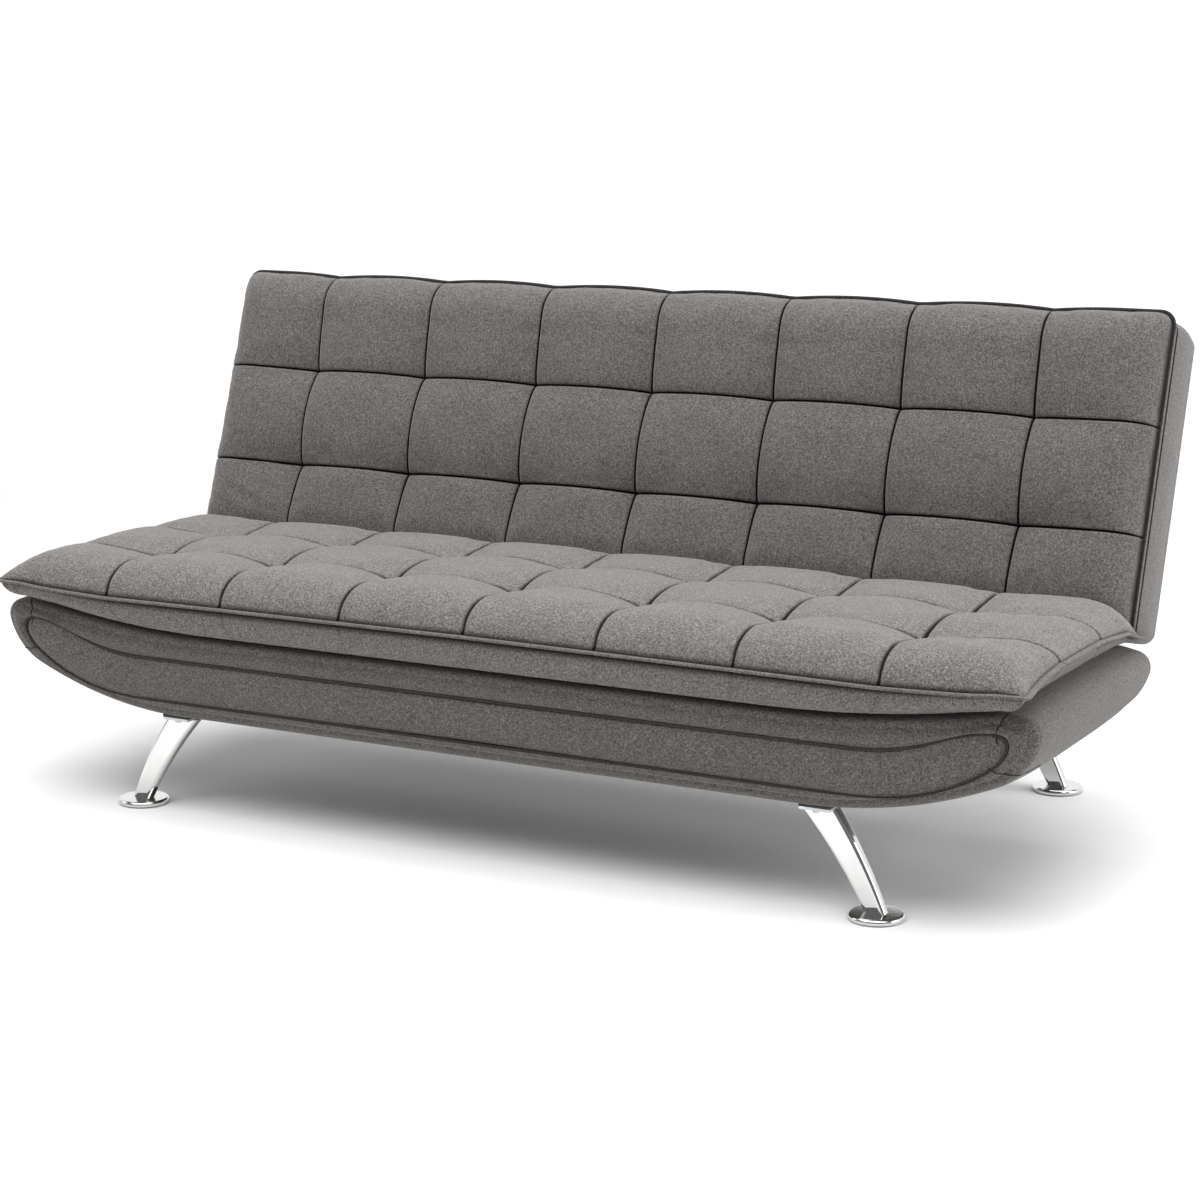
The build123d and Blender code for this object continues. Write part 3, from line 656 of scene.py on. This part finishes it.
def panel_quarters():
    """The front panel's right half outline (x, z), as base_quarters splits the base's."""
    tip_x, low = HALF_WIDTH - PANEL_MARGIN, UNDERSIDE + PANEL_LOW
    high = low + PANEL_HEIGHT
    rise_x, rise = tip_x - PANEL_SWEEP, PANEL_RISE
    shoulder = (tip_x - PANEL_SHOULDER, high + rise)
    chin = (tip_x - PANEL_CHIN[0], high - PANEL_CHIN[1])
    bend = (tip_x - PANEL_BEND, high + rise / 2)
    (bend_x, bend_z), (shoulder_x, shoulder_z) = PANEL_OVER_PULLS
    (upper_x, upper_z), (lower_x, lower_z) = PANEL_NOSE_PULLS
    (belly_x, belly_z), start_x = PANEL_BELLY_PULLS
    up, _ = arc_to((rise_x, high), bend, 0.0, 14)
    over = bezier(
        bend,
        (bend[0] + bend_x, bend[1] + bend_z),
        (tip_x - shoulder_x, high + rise - shoulder_z),
        shoulder,
        14,
    )
    nose = bezier(
        shoulder,
        (tip_x + upper_x, high + upper_z),
        (tip_x + lower_x, high + lower_z),
        chin,
        31,
    )
    belly = bezier(
        chin,
        (tip_x - belly_x, high - belly_z),
        (tip_x - start_x, low),
        (rise_x, low),
        40,
    )
    tip = int(np.argmax(nose[:, 0]))
    top = np.concatenate([[(0, high), (rise_x, high)], up, over[1:], nose[1 : tip + 1]])
    under = np.concatenate([nose[tip:], belly[1:], [(0, low)]])
    return even(top, QUARTER), even(under, QUARTER)


def full_loop(quarters):
    """A closed loop from the right half's two runs, clockwise seen from the front."""
    top, low = quarters
    right = np.concatenate([top, low[1:]])
    left = right[-2:0:-1] * np.array((-1, 1))
    return np.concatenate([right, left])


def loop_outward(loop):
    """Unit outward directions in the plane of a clockwise loop."""
    ahead = np.roll(loop, -1, 0) - np.roll(loop, 1, 0)
    ahead /= np.linalg.norm(ahead, axis=1)[:, None]
    return np.stack([-ahead[:, 1], ahead[:, 0]], -1)


# ---- Base upholstery --------------------------------------------------------------------
PANEL_RUNGS = 14
PANEL_FULL = 0.06
SKIN_INSET = 0.004
FRONT_ROLL = 0.016
REAR_ROLL = 0.010
SIDE_BELLY = 0.005
BORDER_PUFF = 0.008
PANEL_PUFF = 0.009
GUTTER = 0.0045
GUTTER_FLOOR = 0.0026
GUTTER_DEPTH = 0.0020
LIP_PROUD = 0.0015
CORD_RADIUS = 0.0024
CORD_PROUD = 0.0025
CORD_SHADE = 0.72
STITCH_RADIUS = 0.0011


def panel_mesh(loop, y, puff):
    """Points and columns of a puffed panel inside a loop, on rungs from its upper edge down
    to its lower edge."""
    count = len(loop)
    tip = QUARTER - 1
    points, columns = [], []
    for j in range(1, count // 2):
        top, low = (count - tip + j) % count, count - tip - j
        span = loop[low] - loop[top]
        column = [top]
        for share in np.linspace(0, 1, PANEL_RUNGS + 1)[1:-1]:
            x, z = loop[top] + span * share
            rise = math.sin(math.pi * share) ** 0.6
            wide = min(1, np.linalg.norm(span) / PANEL_FULL)
            column.append(count + len(points))
            points.append((x, y + puff * rise * wide, z))
        columns.append(column + [low])
    return points, columns


def panel_faces(columns, first_tip, last_tip):
    """Faces across the rungs, with a fan at each tip of the panel."""
    faces = []
    for left, right in zip(columns, columns[1:]):
        for r in range(len(left) - 1):
            faces.append((left[r], right[r], right[r + 1], left[r + 1]))
    for tip, column in ((first_tip, columns[0]), (last_tip, columns[-1])):
        faces.extend((tip, column[r], column[r + 1]) for r in range(len(column) - 1))
    return faces


def base_cover():
    """The padded fabric skin of the base: its wrapped body, rolled front edge, puffed border,
    stitched line and puffed panel, and its flat back."""
    outer = full_loop(base_quarters())
    inner = full_loop(panel_quarters())
    outward = loop_outward(outer)
    count = len(outer)
    rings, seams = [], []

    def ring(loop, y, seam=0.0):
        rings.append(np.stack([loop[:, 0], np.full(count, y), loop[:, 1]], -1))
        seams.append(np.full(count, seam))

    rear = outer - outward * (SKIN_INSET + REAR_ROLL)
    ring(rear, BASE_REAR)
    for turn in np.linspace(0, math.pi / 2, 5)[1:]:
        inset = SKIN_INSET + REAR_ROLL * (1 - math.sin(turn))
        ring(outer - outward * inset, BASE_REAR - REAR_ROLL * (1 - math.cos(turn)))
    depth = np.linspace(BASE_REAR - REAR_ROLL, BASE_FRONT + FRONT_ROLL, 34)[1:]
    middle = (depth[0] + depth[-1]) / 2
    for y in depth:
        bulge = SIDE_BELLY * (1 - ((y - middle) / (depth[0] - middle)) ** 4)
        ring(outer + outward * (bulge - SKIN_INSET), y)
    for turn in np.linspace(0, math.pi / 2, 9)[1:]:
        inset = SKIN_INSET + FRONT_ROLL * (1 - math.cos(turn))
        ring(outer - outward * inset, BASE_FRONT + FRONT_ROLL * (1 - math.sin(turn)))
    rim = outer - outward * (SKIN_INSET + FRONT_ROLL)
    toward = inner - rim
    for share in np.linspace(0, 1, 15)[1:-1]:
        puff = BORDER_PUFF * math.sin(math.pi * share) ** 0.8
        ring(rim + toward * share, BASE_FRONT - puff)
    toward /= np.linalg.norm(toward, axis=1)[:, None]
    ring(inner - toward * GUTTER, BASE_FRONT - LIP_PROUD)
    # These three rings are darkened in full: dark thread and painted shade in the stitched gutter.
    ring(inner - toward * GUTTER_FLOOR, BASE_FRONT, 1.0)
    ring(inner, BASE_FRONT + GUTTER_DEPTH, 1.0)
    ring(inner + toward * GUTTER_FLOOR, BASE_FRONT, 1.0)
    ring(inner + toward * GUTTER, BASE_FRONT - LIP_PROUD)
    shared = (len(rings) - 1) * count
    tip = QUARTER - 1

    heart, lip_y = inner + toward * GUTTER, BASE_FRONT - LIP_PROUD
    front_points, columns = panel_mesh(heart, lip_y, -PANEL_PUFF)
    front = [[i + shared for i in column] for column in columns]
    faces = grid_faces(len(rings), count, wrap=True)
    faces += panel_faces(front, shared + count - tip, shared + tip)

    rear_points, columns = panel_mesh(rear, BASE_REAR, 0.0)
    after = shared + len(front_points)
    back = [[i if i < count else i + after for i in column] for column in columns]
    faces += panel_faces(back, count - tip, tip)

    points = np.concatenate(rings + [np.array(front_points), np.array(rear_points)])
    cover = make_mesh("base_cover", points, faces, base_cloth_shaded)
    weights = np.zeros(len(points))
    weights[: len(rings) * count] = np.concatenate(seams)
    mark_seams_and_shade(cover, weights)
    return cover, inner


def front_cord(inner):
    """The fabric-covered cord sewn round the front panel."""
    cord_y = np.full(len(inner), BASE_FRONT - CORD_PROUD)
    path = np.stack([inner[:, 0], cord_y, inner[:, 1]], -1)
    cord = tube("front_cord", path, CORD_RADIUS, base_cloth_shaded, closed=True, up=(0, 1, 0))
    mark_seams_and_shade(cord, np.full(len(cord.data.vertices), CORD_SHADE))
    return cord


def end_seams(cover):
    """Stitched lines on the border at both ends, laid on the cover."""
    surface = BVHTree.FromPolygons(
        [v.co for v in cover.data.vertices], [p.vertices for p in cover.data.polygons]
    )
    lines = {
        "rising": ((0.872, 0.338), (0.863, 0.326), (0.857, 0.310), (0.862, 0.296)),
        "cross": ((0.849, 0.259), (0.866, 0.253), (0.884, 0.250), (0.902, 0.253)),
    }
    made = []
    for label, corners in lines.items():
        for side, sign in (("left", -1), ("right", 1)):
            path = []
            for x, z in bezier(*corners, 16):
                start = Vector((sign * x, -1, z))
                hit = surface.ray_cast(start, Vector((0, 1, 0)))[0]
                if hit is not None:
                    path.append((hit.x, hit.y, hit.z))
            made.append(
                tube(f"{label}_seam_{side}", path, STITCH_RADIUS, thread_line, ring=6, up=(0, 1, 0))
            )
    return made


# ---- Seat mattress ----------------------------------------------------------------------
def rounded_end(values, half, reach):
    """Places across a pad and how high each stands, 0 at an edge and 1 inside: the last
    reach to each edge at +-half is a quarter ellipse."""
    beyond = np.clip((half - np.abs(values)) / reach, 0, 1) * math.pi / 2
    place = np.sign(values) * np.where(
        half - np.abs(values) < reach,
        half - reach * (1 - np.cos(beyond)),
        np.abs(values),
    )
    return place, np.sin(beyond)


SEAT_SIDE_ROUND = 0.075
SEAT_FRONT_ROUND = 0.070
SEAT_FRONT_EDGE = ((0, 0.45, 0.69, 0.84, 0.9), (0.365, 0.363, 0.361, 0.366, 0.374))
SEAT_SIDE_EDGE = ((-0.454, -0.3, -0.11, 0.02, 0.09), (0.372, 0.385, 0.384, 0.372, 0.352))
SEAT_REAR_EDGE = 0.352
SEAT_DOME = 0.006
SEAT_FADE = 0.06
CORNER_PULL = 0.009
CORNER_REACH = 0.035
PLEAT_HEIGHT = 0.0022
PLEAT_PLACE = 0.05
PLEAT_SPREAD = 0.028
PLEATS = 15
EDGE_TUCK = 0.003
BORDER_INSET = (0.036, 0.020)
DECK_GAP = 0.0015
FLANGE_REACH = 0.003
FLANGE_RADIUS = 0.0027
FLANGE_SHADE = 0.25


def seat_crown(x, y):
    """The seat pad's outer surface before it is tufted, over the grid x by y."""
    middle, half = (SEAT_FRONT + SEAT_REAR) / 2, (SEAT_REAR - SEAT_FRONT) / 2
    px, ex = rounded_end(x, SEAT_HALF, SEAT_SIDE_ROUND)
    py, ey = rounded_end(y - middle, half, SEAT_FRONT_ROUND)
    py = py + middle
    px, py = np.meshgrid(px, py, indexing="ij")
    ex, ey = np.meshgrid(ex, ey, indexing="ij")
    front = np.interp(np.abs(px), *SEAT_FRONT_EDGE)
    side = np.interp(py, *SEAT_SIDE_EDGE)
    rear = np.full_like(px, SEAT_REAR_EDGE)
    near_front = (1 - ey) * (py < middle)
    near_rear = (1 - ey) * (py > middle)
    near_side = 1 - ex
    total = near_front + near_rear + near_side + 1e-9
    edge = (front * near_front + rear * near_rear + side * near_side) / total
    dome = np.cos(px / SEAT_HALF * math.pi / 2) * np.cos((py - middle) / half * 1.2)
    height = SEAT_CROWN + SEAT_DOME * (dome - 0.5)
    z = edge + (height - edge) * (ex * ey)
    to_x, to_y = SEAT_HALF - np.abs(px), py - SEAT_FRONT
    far = np.hypot(to_x, to_y)
    pull = CORNER_PULL * np.exp(-((far / CORNER_REACH) ** 2))
    pleat = np.sin(np.arctan2(to_y, to_x) * PLEATS + 0.6)
    pleat *= np.exp(-(((far - PLEAT_PLACE) / PLEAT_SPREAD) ** 2))
    px = px + np.sign(px) * pull
    return np.stack([px, py - pull, z + PLEAT_HEIGHT * pleat], -1)


def edge_fade(values, half, reach):
    """0 at +-half and 1 from reach inside it."""
    share = np.clip((half - np.abs(values)) / reach, 0, 1)
    return share * share * (3 - 2 * share)


def seat_fade(x, y):
    """How much of the tufting each place of the seat takes: none at the piped edge."""
    middle, half = (SEAT_FRONT + SEAT_REAR) / 2, (SEAT_REAR - SEAT_FRONT) / 2
    across = edge_fade(x, SEAT_HALF, SEAT_FADE)
    return across[:, None] * edge_fade(y - middle, half, SEAT_FADE)


def closed_pad(name, top, stitched, loops, under, material):
    """A closed pad: its sewn top, border loops below the top's edge, and its underside."""
    rows, columns = top.shape[:2]
    order = perimeter(rows, columns)
    rim = [i * columns + j for i, j in order]
    faces = grid_faces(rows, columns)
    count = len(order)
    size = rows * columns
    chains = [rim] + [
        list(range(size + k * count, size + (k + 1) * count)) for k in range(len(loops))
    ]
    for upper, lower in zip(chains, chains[1:]):
        for c in range(count):
            after = (c + 1) % count
            faces.append((upper[c], upper[after], lower[after], lower[c]))
    base = size + len(loops) * count
    number = dict(zip(order, chains[-1]))
    inside = [(i, j) for i in range(1, rows - 1) for j in range(1, columns - 1)]
    number.update({place: base + k for k, place in enumerate(inside)})
    for i in range(rows - 1):
        for j in range(columns - 1):
            corners = (i, j), (i, j + 1), (i + 1, j + 1), (i + 1, j)
            faces.append(tuple(number[corner] for corner in corners))
    inner = np.array([under[i, j] for i, j in inside])
    points = np.concatenate([top.reshape(-1, 3), *loops, inner])
    pad = make_mesh(name, points, faces, material)
    weights = np.zeros(len(points))
    weights[:size] = stitched.ravel()
    # The top's rim and the first border loop are darkened in full: painted shade under the pad's
    # edge.
    weights[rim] = 1
    weights[size : size + count] = 1
    mark_seams_and_shade(pad, weights)
    return pad


def seat_mattress():
    """The tufted seat pad, with its lower border, and its flat piped edge."""
    columns = [i * SEAT_COLUMN for i in range(-3, 4)]
    x_edges = np.array([-SEAT_HALF, *columns, SEAT_HALF])
    y_edges = np.array(SEAT_ROWS)
    top, stitched = tufted_surface(
        "seat", seat_crown, x_edges, y_edges, seat_fade, SEAT_TUFT, SEAT_SEAM, SEAT_LINE
    )
    order = perimeter(*top.shape[:2])
    edge = np.array([top[i, j] for i, j in order])
    centre = np.array((0, (SEAT_FRONT + SEAT_REAR) / 2))
    reach = np.array((SEAT_HALF, (SEAT_REAR - SEAT_FRONT) / 2))
    foot = deck_height(edge[:, 0]) + DECK_GAP
    loops = []
    for turn in np.linspace(0.12, math.pi / 2, 9):
        loop = edge.copy()
        inset = EDGE_TUCK + np.array(BORDER_INSET) * (1 - math.cos(turn))
        loop[:, :2] = centre + (edge[:, :2] - centre) * (1 - inset / reach)
        loop[:, 2] = edge[:, 2] + (foot - edge[:, 2]) * math.sin(turn)
        loops.append(loop)
    under = top.copy()
    under[..., :2] = centre + (top[..., :2] - centre) * (1 - inset / reach)
    under[..., 2] = deck_height(under[..., 0]) + DECK_GAP
    pad = closed_pad("seat_mattress", top, stitched, loops, under, seat_cloth)
    away = (edge[:, :2] - centre) / reach
    away = np.sign(away) * np.abs(away) ** 12
    lip = edge + np.concatenate([FLANGE_REACH * away, np.zeros((len(edge), 1))], 1)
    flange = tube("seat_piping", lip, FLANGE_RADIUS, seat_cloth, closed=True, squash=2.2)
    mark_seams_and_shade(flange, np.full(len(flange.data.vertices), FLANGE_SHADE))
    return pad, flange


# ---- Back mattress ----------------------------------------------------------------------
def round_corners(x, s, half, top, radius):
    """Draws the two top corners of a sheet of places in to a radius."""
    across = np.clip(np.abs(x) - (half - radius), 0, radius)
    up = np.clip(s - (top - radius), 0, radius)
    new_across = across * np.sqrt(1 - up**2 / (2 * radius**2))
    new_up = up * np.sqrt(1 - across**2 / (2 * radius**2))
    return x - np.sign(x) * (across - new_across), s - (up - new_up)


SCALLOP = 0.006
BACK_ROUND = 0.055
PAD_CORNER = 0.022
PUCKER_HEIGHT = 0.0022
PUCKER_PLACE = (-0.79, 0.085)
PUCKER_SPREAD = (0.07, 0.045)
BACK_FADES = (0.05, 0.03)
PAD_SKIRT = (0.003, 0.006, 0.0105)


def scallop(x):
    """How far the back pad's top edge dips at each place across: most at its seams."""
    wave = np.abs(np.sin(math.pi * x / BACK_COLUMN)) ** 0.8
    inside = np.clip((PAD_HALF - 0.05 - np.abs(x)) / 0.06, 0, 1)
    return SCALLOP * (1 - wave) * inside


def back_crown(x, s):
    """The back pad's outer surface before it is tufted, over the grid x by s."""
    middle, half = (PAD_FOOT + PAD_TOP) / 2, (PAD_TOP - PAD_FOOT) / 2
    px, ex = rounded_end(x, PAD_HALF, BACK_ROUND)
    ps, es = rounded_end(s - middle, half, BACK_ROUND)
    px, ps = np.meshgrid(px, ps + middle, indexing="ij")
    height = BACK_EDGE + (BACK_CROWN - BACK_EDGE) * ex[:, None] * es[None, :]
    px, ps = round_corners(px, ps, PAD_HALF, PAD_TOP, PAD_CORNER)
    ps = ps - scallop(px) * np.clip((ps - PAD_TOP + 0.09) / 0.09, 0, 1)
    off_x = (px - PUCKER_PLACE[0]) / PUCKER_SPREAD[0]
    off_s = (ps - PUCKER_PLACE[1]) / PUCKER_SPREAD[1]
    puckered = np.exp(-(off_x**2) - off_s**2)
    height = height + PUCKER_HEIGHT * np.sin(ps * 190 + px * 70) * puckered
    return back_point(px, ps, height)


def back_fade(x, s):
    """How much of the tufting each place of the back takes: little at its edges."""
    middle, half = (PAD_FOOT + PAD_TOP) / 2, (PAD_TOP - PAD_FOOT) / 2
    across = edge_fade(x, PAD_HALF, BACK_FADES[0])
    return across[:, None] * edge_fade(s - middle, half, BACK_FADES[1])


def back_mattress():
    """The tufted back pad, closed behind."""
    columns = [i * BACK_COLUMN for i in range(-3, 4)]
    x_edges = np.array([-PAD_HALF, *columns, PAD_HALF])
    s_edges = np.array(BACK_ROWS)
    top, stitched = tufted_surface(
        "back", back_crown, x_edges, s_edges, back_fade, BACK_TUFT, BACK_SEAM, BACK_LINE
    )
    order = perimeter(*top.shape[:2])
    edge = np.array([top[i, j] for i, j in order])
    loops = [edge - drop * FACING for drop in PAD_SKIRT]
    height = (top - BACK_ORIGIN) @ FACING
    under = top - (height - (BACK_EDGE - PAD_SKIRT[-1]))[..., None] * FACING
    return closed_pad("back_mattress", top, stitched, loops, under, back_cloth_shaded)


def back_outline(half, top, radius, foot=0.004):
    """Places (x, s) up one side of the backrest, over the top and down the other side."""
    turns = np.linspace(0, math.pi / 2, 10)
    right = np.stack([np.full(24, half), np.linspace(foot, top - radius, 24)], -1)
    corner = np.stack(
        [half - radius + radius * np.cos(turns), top - radius + radius * np.sin(turns)], -1
    )
    right = np.concatenate([right, corner[1:]])
    across = np.linspace(half - radius, 0, 60)[1:]
    right = np.concatenate([right, np.stack([across, np.full(59, top)], -1)])
    left = right[-2::-1] * np.array((-1, 1))
    return np.concatenate([right, left])


def back_edging():
    """The dark cords round the back pad, thicker over the top, and the strip of fabric
    between them."""
    front = back_outline(PAD_HALF + 0.003, PAD_TOP + 0.002, 0.024)
    rear = back_outline(BACK_HALF, SHELL_TOP - 0.002, 0.022)
    inside = back_outline(PAD_HALF - 0.012, SHELL_TOP - 0.016, 0.014)
    upper = np.clip((front[:, 1] - (PAD_TOP - 0.030)) / 0.028, 0, 1)
    front[:, 1] -= scallop(front[:, 0]) * upper
    level = np.full(len(front), 1.0)
    path = back_point(front[:, 0], front[:, 1], 0.0095 * level)
    radius = CORD_RADIUS + 0.0018 * upper
    cord_front = tube("back_piping_front", path, radius, piping_cloth, up=FACING)
    path = back_point(rear[:, 0], rear[:, 1], -0.0055 * level)
    cord_rear = tube("back_piping_rear", path, CORD_RADIUS, piping_cloth, up=FACING)
    rows = []
    for share in np.linspace(0, 1, 7):
        outline = front + (rear - front) * share
        bow = 0.0015 * math.sin(math.pi * share)
        outline = outline + np.sign(outline) * (bow, bow)
        rows.append(back_point(outline[:, 0], outline[:, 1], (0.008 - 0.012 * share) * level))
    rows.append(back_point(inside[:, 0], inside[:, 1], -0.004 * level))
    rows.append(back_point(inside[:, 0], inside[:, 1], 0.008 * level))
    strip = swept_ring("back_edge_strip", np.stack(rows, 1), back_cloth_shaded)
    return cord_front, cord_rear, strip


def swept_ring(name, sections, material, closed=False):
    """A closed band through sections, an array of path places by section places."""
    count, size = sections.shape[:2]
    faces = grid_faces(count, size, wrap=True)
    if closed:
        last = (count - 1) * size
        for c in range(size):
            after = (c + 1) % size
            faces.append((last + c, c, after, last + after))
    else:
        faces.append(tuple(range(size)))
        faces.append(tuple(range((count - 1) * size, count * size)))
    band = make_mesh(name, sections.reshape(-1, 3), faces, material)
    mark_seams_and_shade(band, np.zeros(count * size))
    return band


def shell_loop(half, foot, top, radius):
    """Closed rounded rectangle of places (x, s)."""
    corners = (
        (half - radius, foot + radius, -math.pi / 2),
        (half - radius, top - radius, 0.0),
        (radius - half, top - radius, math.pi / 2),
        (radius - half, foot + radius, math.pi),
    )
    loop = []
    for x, s, start in corners:
        for turn in np.linspace(start, start + math.pi / 2, 8):
            loop.append((x + radius * math.cos(turn), s + radius * math.sin(turn)))
    loop = np.array(loop)
    ends = np.concatenate([loop, loop[:1]])
    filled = []
    for start, end in zip(ends, ends[1:]):
        length = np.linalg.norm(end - start)
        count = 58 if length > half else 16 if length > top / 2 else 1
        filled.extend(start + (end - start) * k / count for k in range(count))
    return np.array(filled)


def back_shell_cover():
    """The padded band of fabric round the backrest's frame: rounded at the front and rear."""
    top = SHELL_TOP
    profile = [(0.0135, -0.001), (0.008, 0.0), (0.004, -0.002), (0.001, -0.006)]
    for t in np.linspace(-0.014, -0.108, 14):
        belly = 0.003 * math.sin(math.pi * (t + 0.014) / -0.094)
        profile.append((-belly, t))
    for turn in np.linspace(0, math.pi / 2, 7):
        profile.append((0.016 * (1 - math.cos(turn)), -0.112 - 0.016 * math.sin(turn)))
    profile += [(0.0175, -0.126), (0.0135, -0.118)]
    loops = []
    for inset, t in profile:
        loop = shell_loop(BACK_HALF - inset, inset, top - inset, 0.020)
        loops.append(back_point(loop[:, 0], loop[:, 1], np.full(len(loop), t)))
    return swept_ring("back_shell_cover", np.stack(loops, 1), back_cloth_shaded, closed=True)


# ---- Pieces -----------------------------------------------------------------------------
thread_line = moulded("seam_thread", (0.006, 0.006, 0.006), 0.9)

cover, panel_loop = base_cover()
cord = front_cord(panel_loop)
seat, seat_piping = seat_mattress()
back = back_mattress()
cord_front, cord_rear, edge_strip = back_edging()
shell = back_shell_cover()

for piece in [cover, cord, seat, seat_piping, *end_seams(cover)]:
    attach(piece, "base")
for piece in (back, cord_front, cord_rear, edge_strip, shell):
    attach(piece, "backrest")

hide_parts("base_wrap", "base_front_border", "front_panel", "base_rear_cover")
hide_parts("front_welt")
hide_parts("seat_pad")
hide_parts("back_pad")
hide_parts("back_piping")
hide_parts("back_shell")

# ---- Materials of the CAD pieces --------------------------------------------------------
FINISHES = {
    "lining_cloth": lining,
    "timber": pine,
    "tube_paint": frame_coat,
    "chrome": chrome,
    "zinc_steel": zinc,
    "spring_steel": spring_steel,
    "black_plastic": black_plastic,
    "bumper_rubber": bumper_rubber,
    "seat_fabric": seat_cloth,
    "base_fabric": base_cloth_shaded,
    "back_fabric": back_cloth_shaded,
    "dark_piping": piping_cloth,
}
NODE_SLOTS = {
    part["node"]: part["material_slot"] for part in frame["record"]["subparts"]
}
for name, piece in frame["nodes"].items():
    for holder in piece.material_slots:
        holder.link = "OBJECT"
        holder.material = FINISHES[NODE_SLOTS[name]]


# ---- Floor, light and camera ------------------------------------------------------------
def studio_floor():
    """A round pale floor that sweeps up into a white wall on every side."""
    profile = [(r, 0.0) for r in (0.02, 1.5, 3.0, 5.0, 7.5, 10.0)]
    for turn in np.linspace(0, math.pi / 2, 13)[1:]:
        profile.append((10.0 + 3.0 * math.sin(turn), 3.0 - 3.0 * math.cos(turn)))
    profile.append((13.0, 11.0))
    turns = np.arange(96) * 2 * math.pi / 96
    points = [(r * math.cos(t), r * math.sin(t), z) for r, z in profile for t in turns]
    faces = grid_faces(len(profile), len(turns), wrap=True)
    faces.append(tuple(range(len(turns))))
    sweep = make_mesh("studio_sweep", points, faces, studio_paint(), outward=False)


def map_range(tree, value, low, high, bottom, top):
    """A value mapped from low..high to bottom..top."""
    ends = {"From_Min": low, "From_Max": high, "To_Min": bottom, "To_Max": top}
    made = node(tree, "ShaderNodeMapRange", **ends)
    tree.links.new(value, made.inputs["Value"])
    return made.outputs["Result"]


def studio_paint():
    """Matt white studio paint, faintly uneven, that glows away from the sofa: brightly
    behind it and softly in front."""
    material, tree, shader, place = new_material("studio_paint")
    tint = ramp(
        tree, noise(tree, place, 3.0, 4, 0.6), [(0.3, (0.86,) * 3), (0.7, (0.90,) * 3)]
    )
    adjust(shader, Roughness=0.8, Specular_IOR_Level=0.1, Emission_Color=(1, 1, 1, 1))
    split = tree.nodes.new("ShaderNodeSeparateXYZ")
    tree.links.new(place, split.inputs["Vector"])
    length = node(tree, "ShaderNodeVectorMath", operation="LENGTH")
    tree.links.new(place, length.inputs[0])
    near = map_range(tree, length.outputs["Value"], 1.2, 5.0, 0.0, 1.0)
    behind = map_range(tree, split.outputs["Y"], -4.0, 3.5, 0.12, 0.98)
    walls = blend_colours(tree, "MIX", near, tint, (0.22, 0.22, 0.22))
    tree.links.new(walls, shader.inputs["Base Color"])
    glow = node(tree, "ShaderNodeMath", operation="MULTIPLY")
    tree.links.new(near, glow.inputs[0])
    tree.links.new(behind, glow.inputs[1])
    tree.links.new(glow.outputs[0], shader.inputs["Emission Strength"])
    return material


def softbox(name, place, aim, width, height, power):
    """A rectangular area light at place that points at aim."""
    light = bpy.data.lights.new(name, "AREA")
    light.shape = "RECTANGLE"
    light.size = width
    light.size_y = height
    light.energy = power
    lamp = bpy.data.objects.new(name, light)
    lamp.location = place
    direction = Vector(aim) - Vector(place)
    lamp.rotation_euler = direction.to_track_quat("-Z", "Y").to_euler()
    bpy.context.scene.collection.objects.link(lamp)


def world_light():
    """Even white surroundings."""
    world = bpy.data.worlds.new("surroundings")
    world.use_nodes = True
    background = world.node_tree.nodes["Background"]
    background.inputs["Color"].default_value = (1, 1, 1, 1)
    background.inputs["Strength"].default_value = 0.10
    bpy.context.scene.world = world


def camera():
    """The view the sofa is shown from: from its right, slightly above the seat."""
    lens = bpy.data.cameras.new("camera")
    lens.lens = 81.35
    lens.sensor_width = 36
    view = bpy.data.objects.new("camera", lens)
    view.location = (2.119, -3.937, 1.237)
    view.rotation_euler = (math.radians(78.691), 0, math.radians(28.344))
    bpy.context.scene.collection.objects.link(view)
    bpy.context.scene.camera = view


studio_floor()
world_light()
softbox("overhead", (0.2, -0.9, 3.8), (0.1, -0.6, 0.3), 6.5, 5.5, 370)
softbox("right_side", (3.9, 0.5, 1.5), (0, 0, 0.4), 1.8, 2.0, 45)
softbox("left_side", (-3.6, -1.4, 1.6), (0, 0, 0.4), 1.6, 2.0, 16)
camera()
bpy.context.scene.view_settings.view_transform = "Standard"
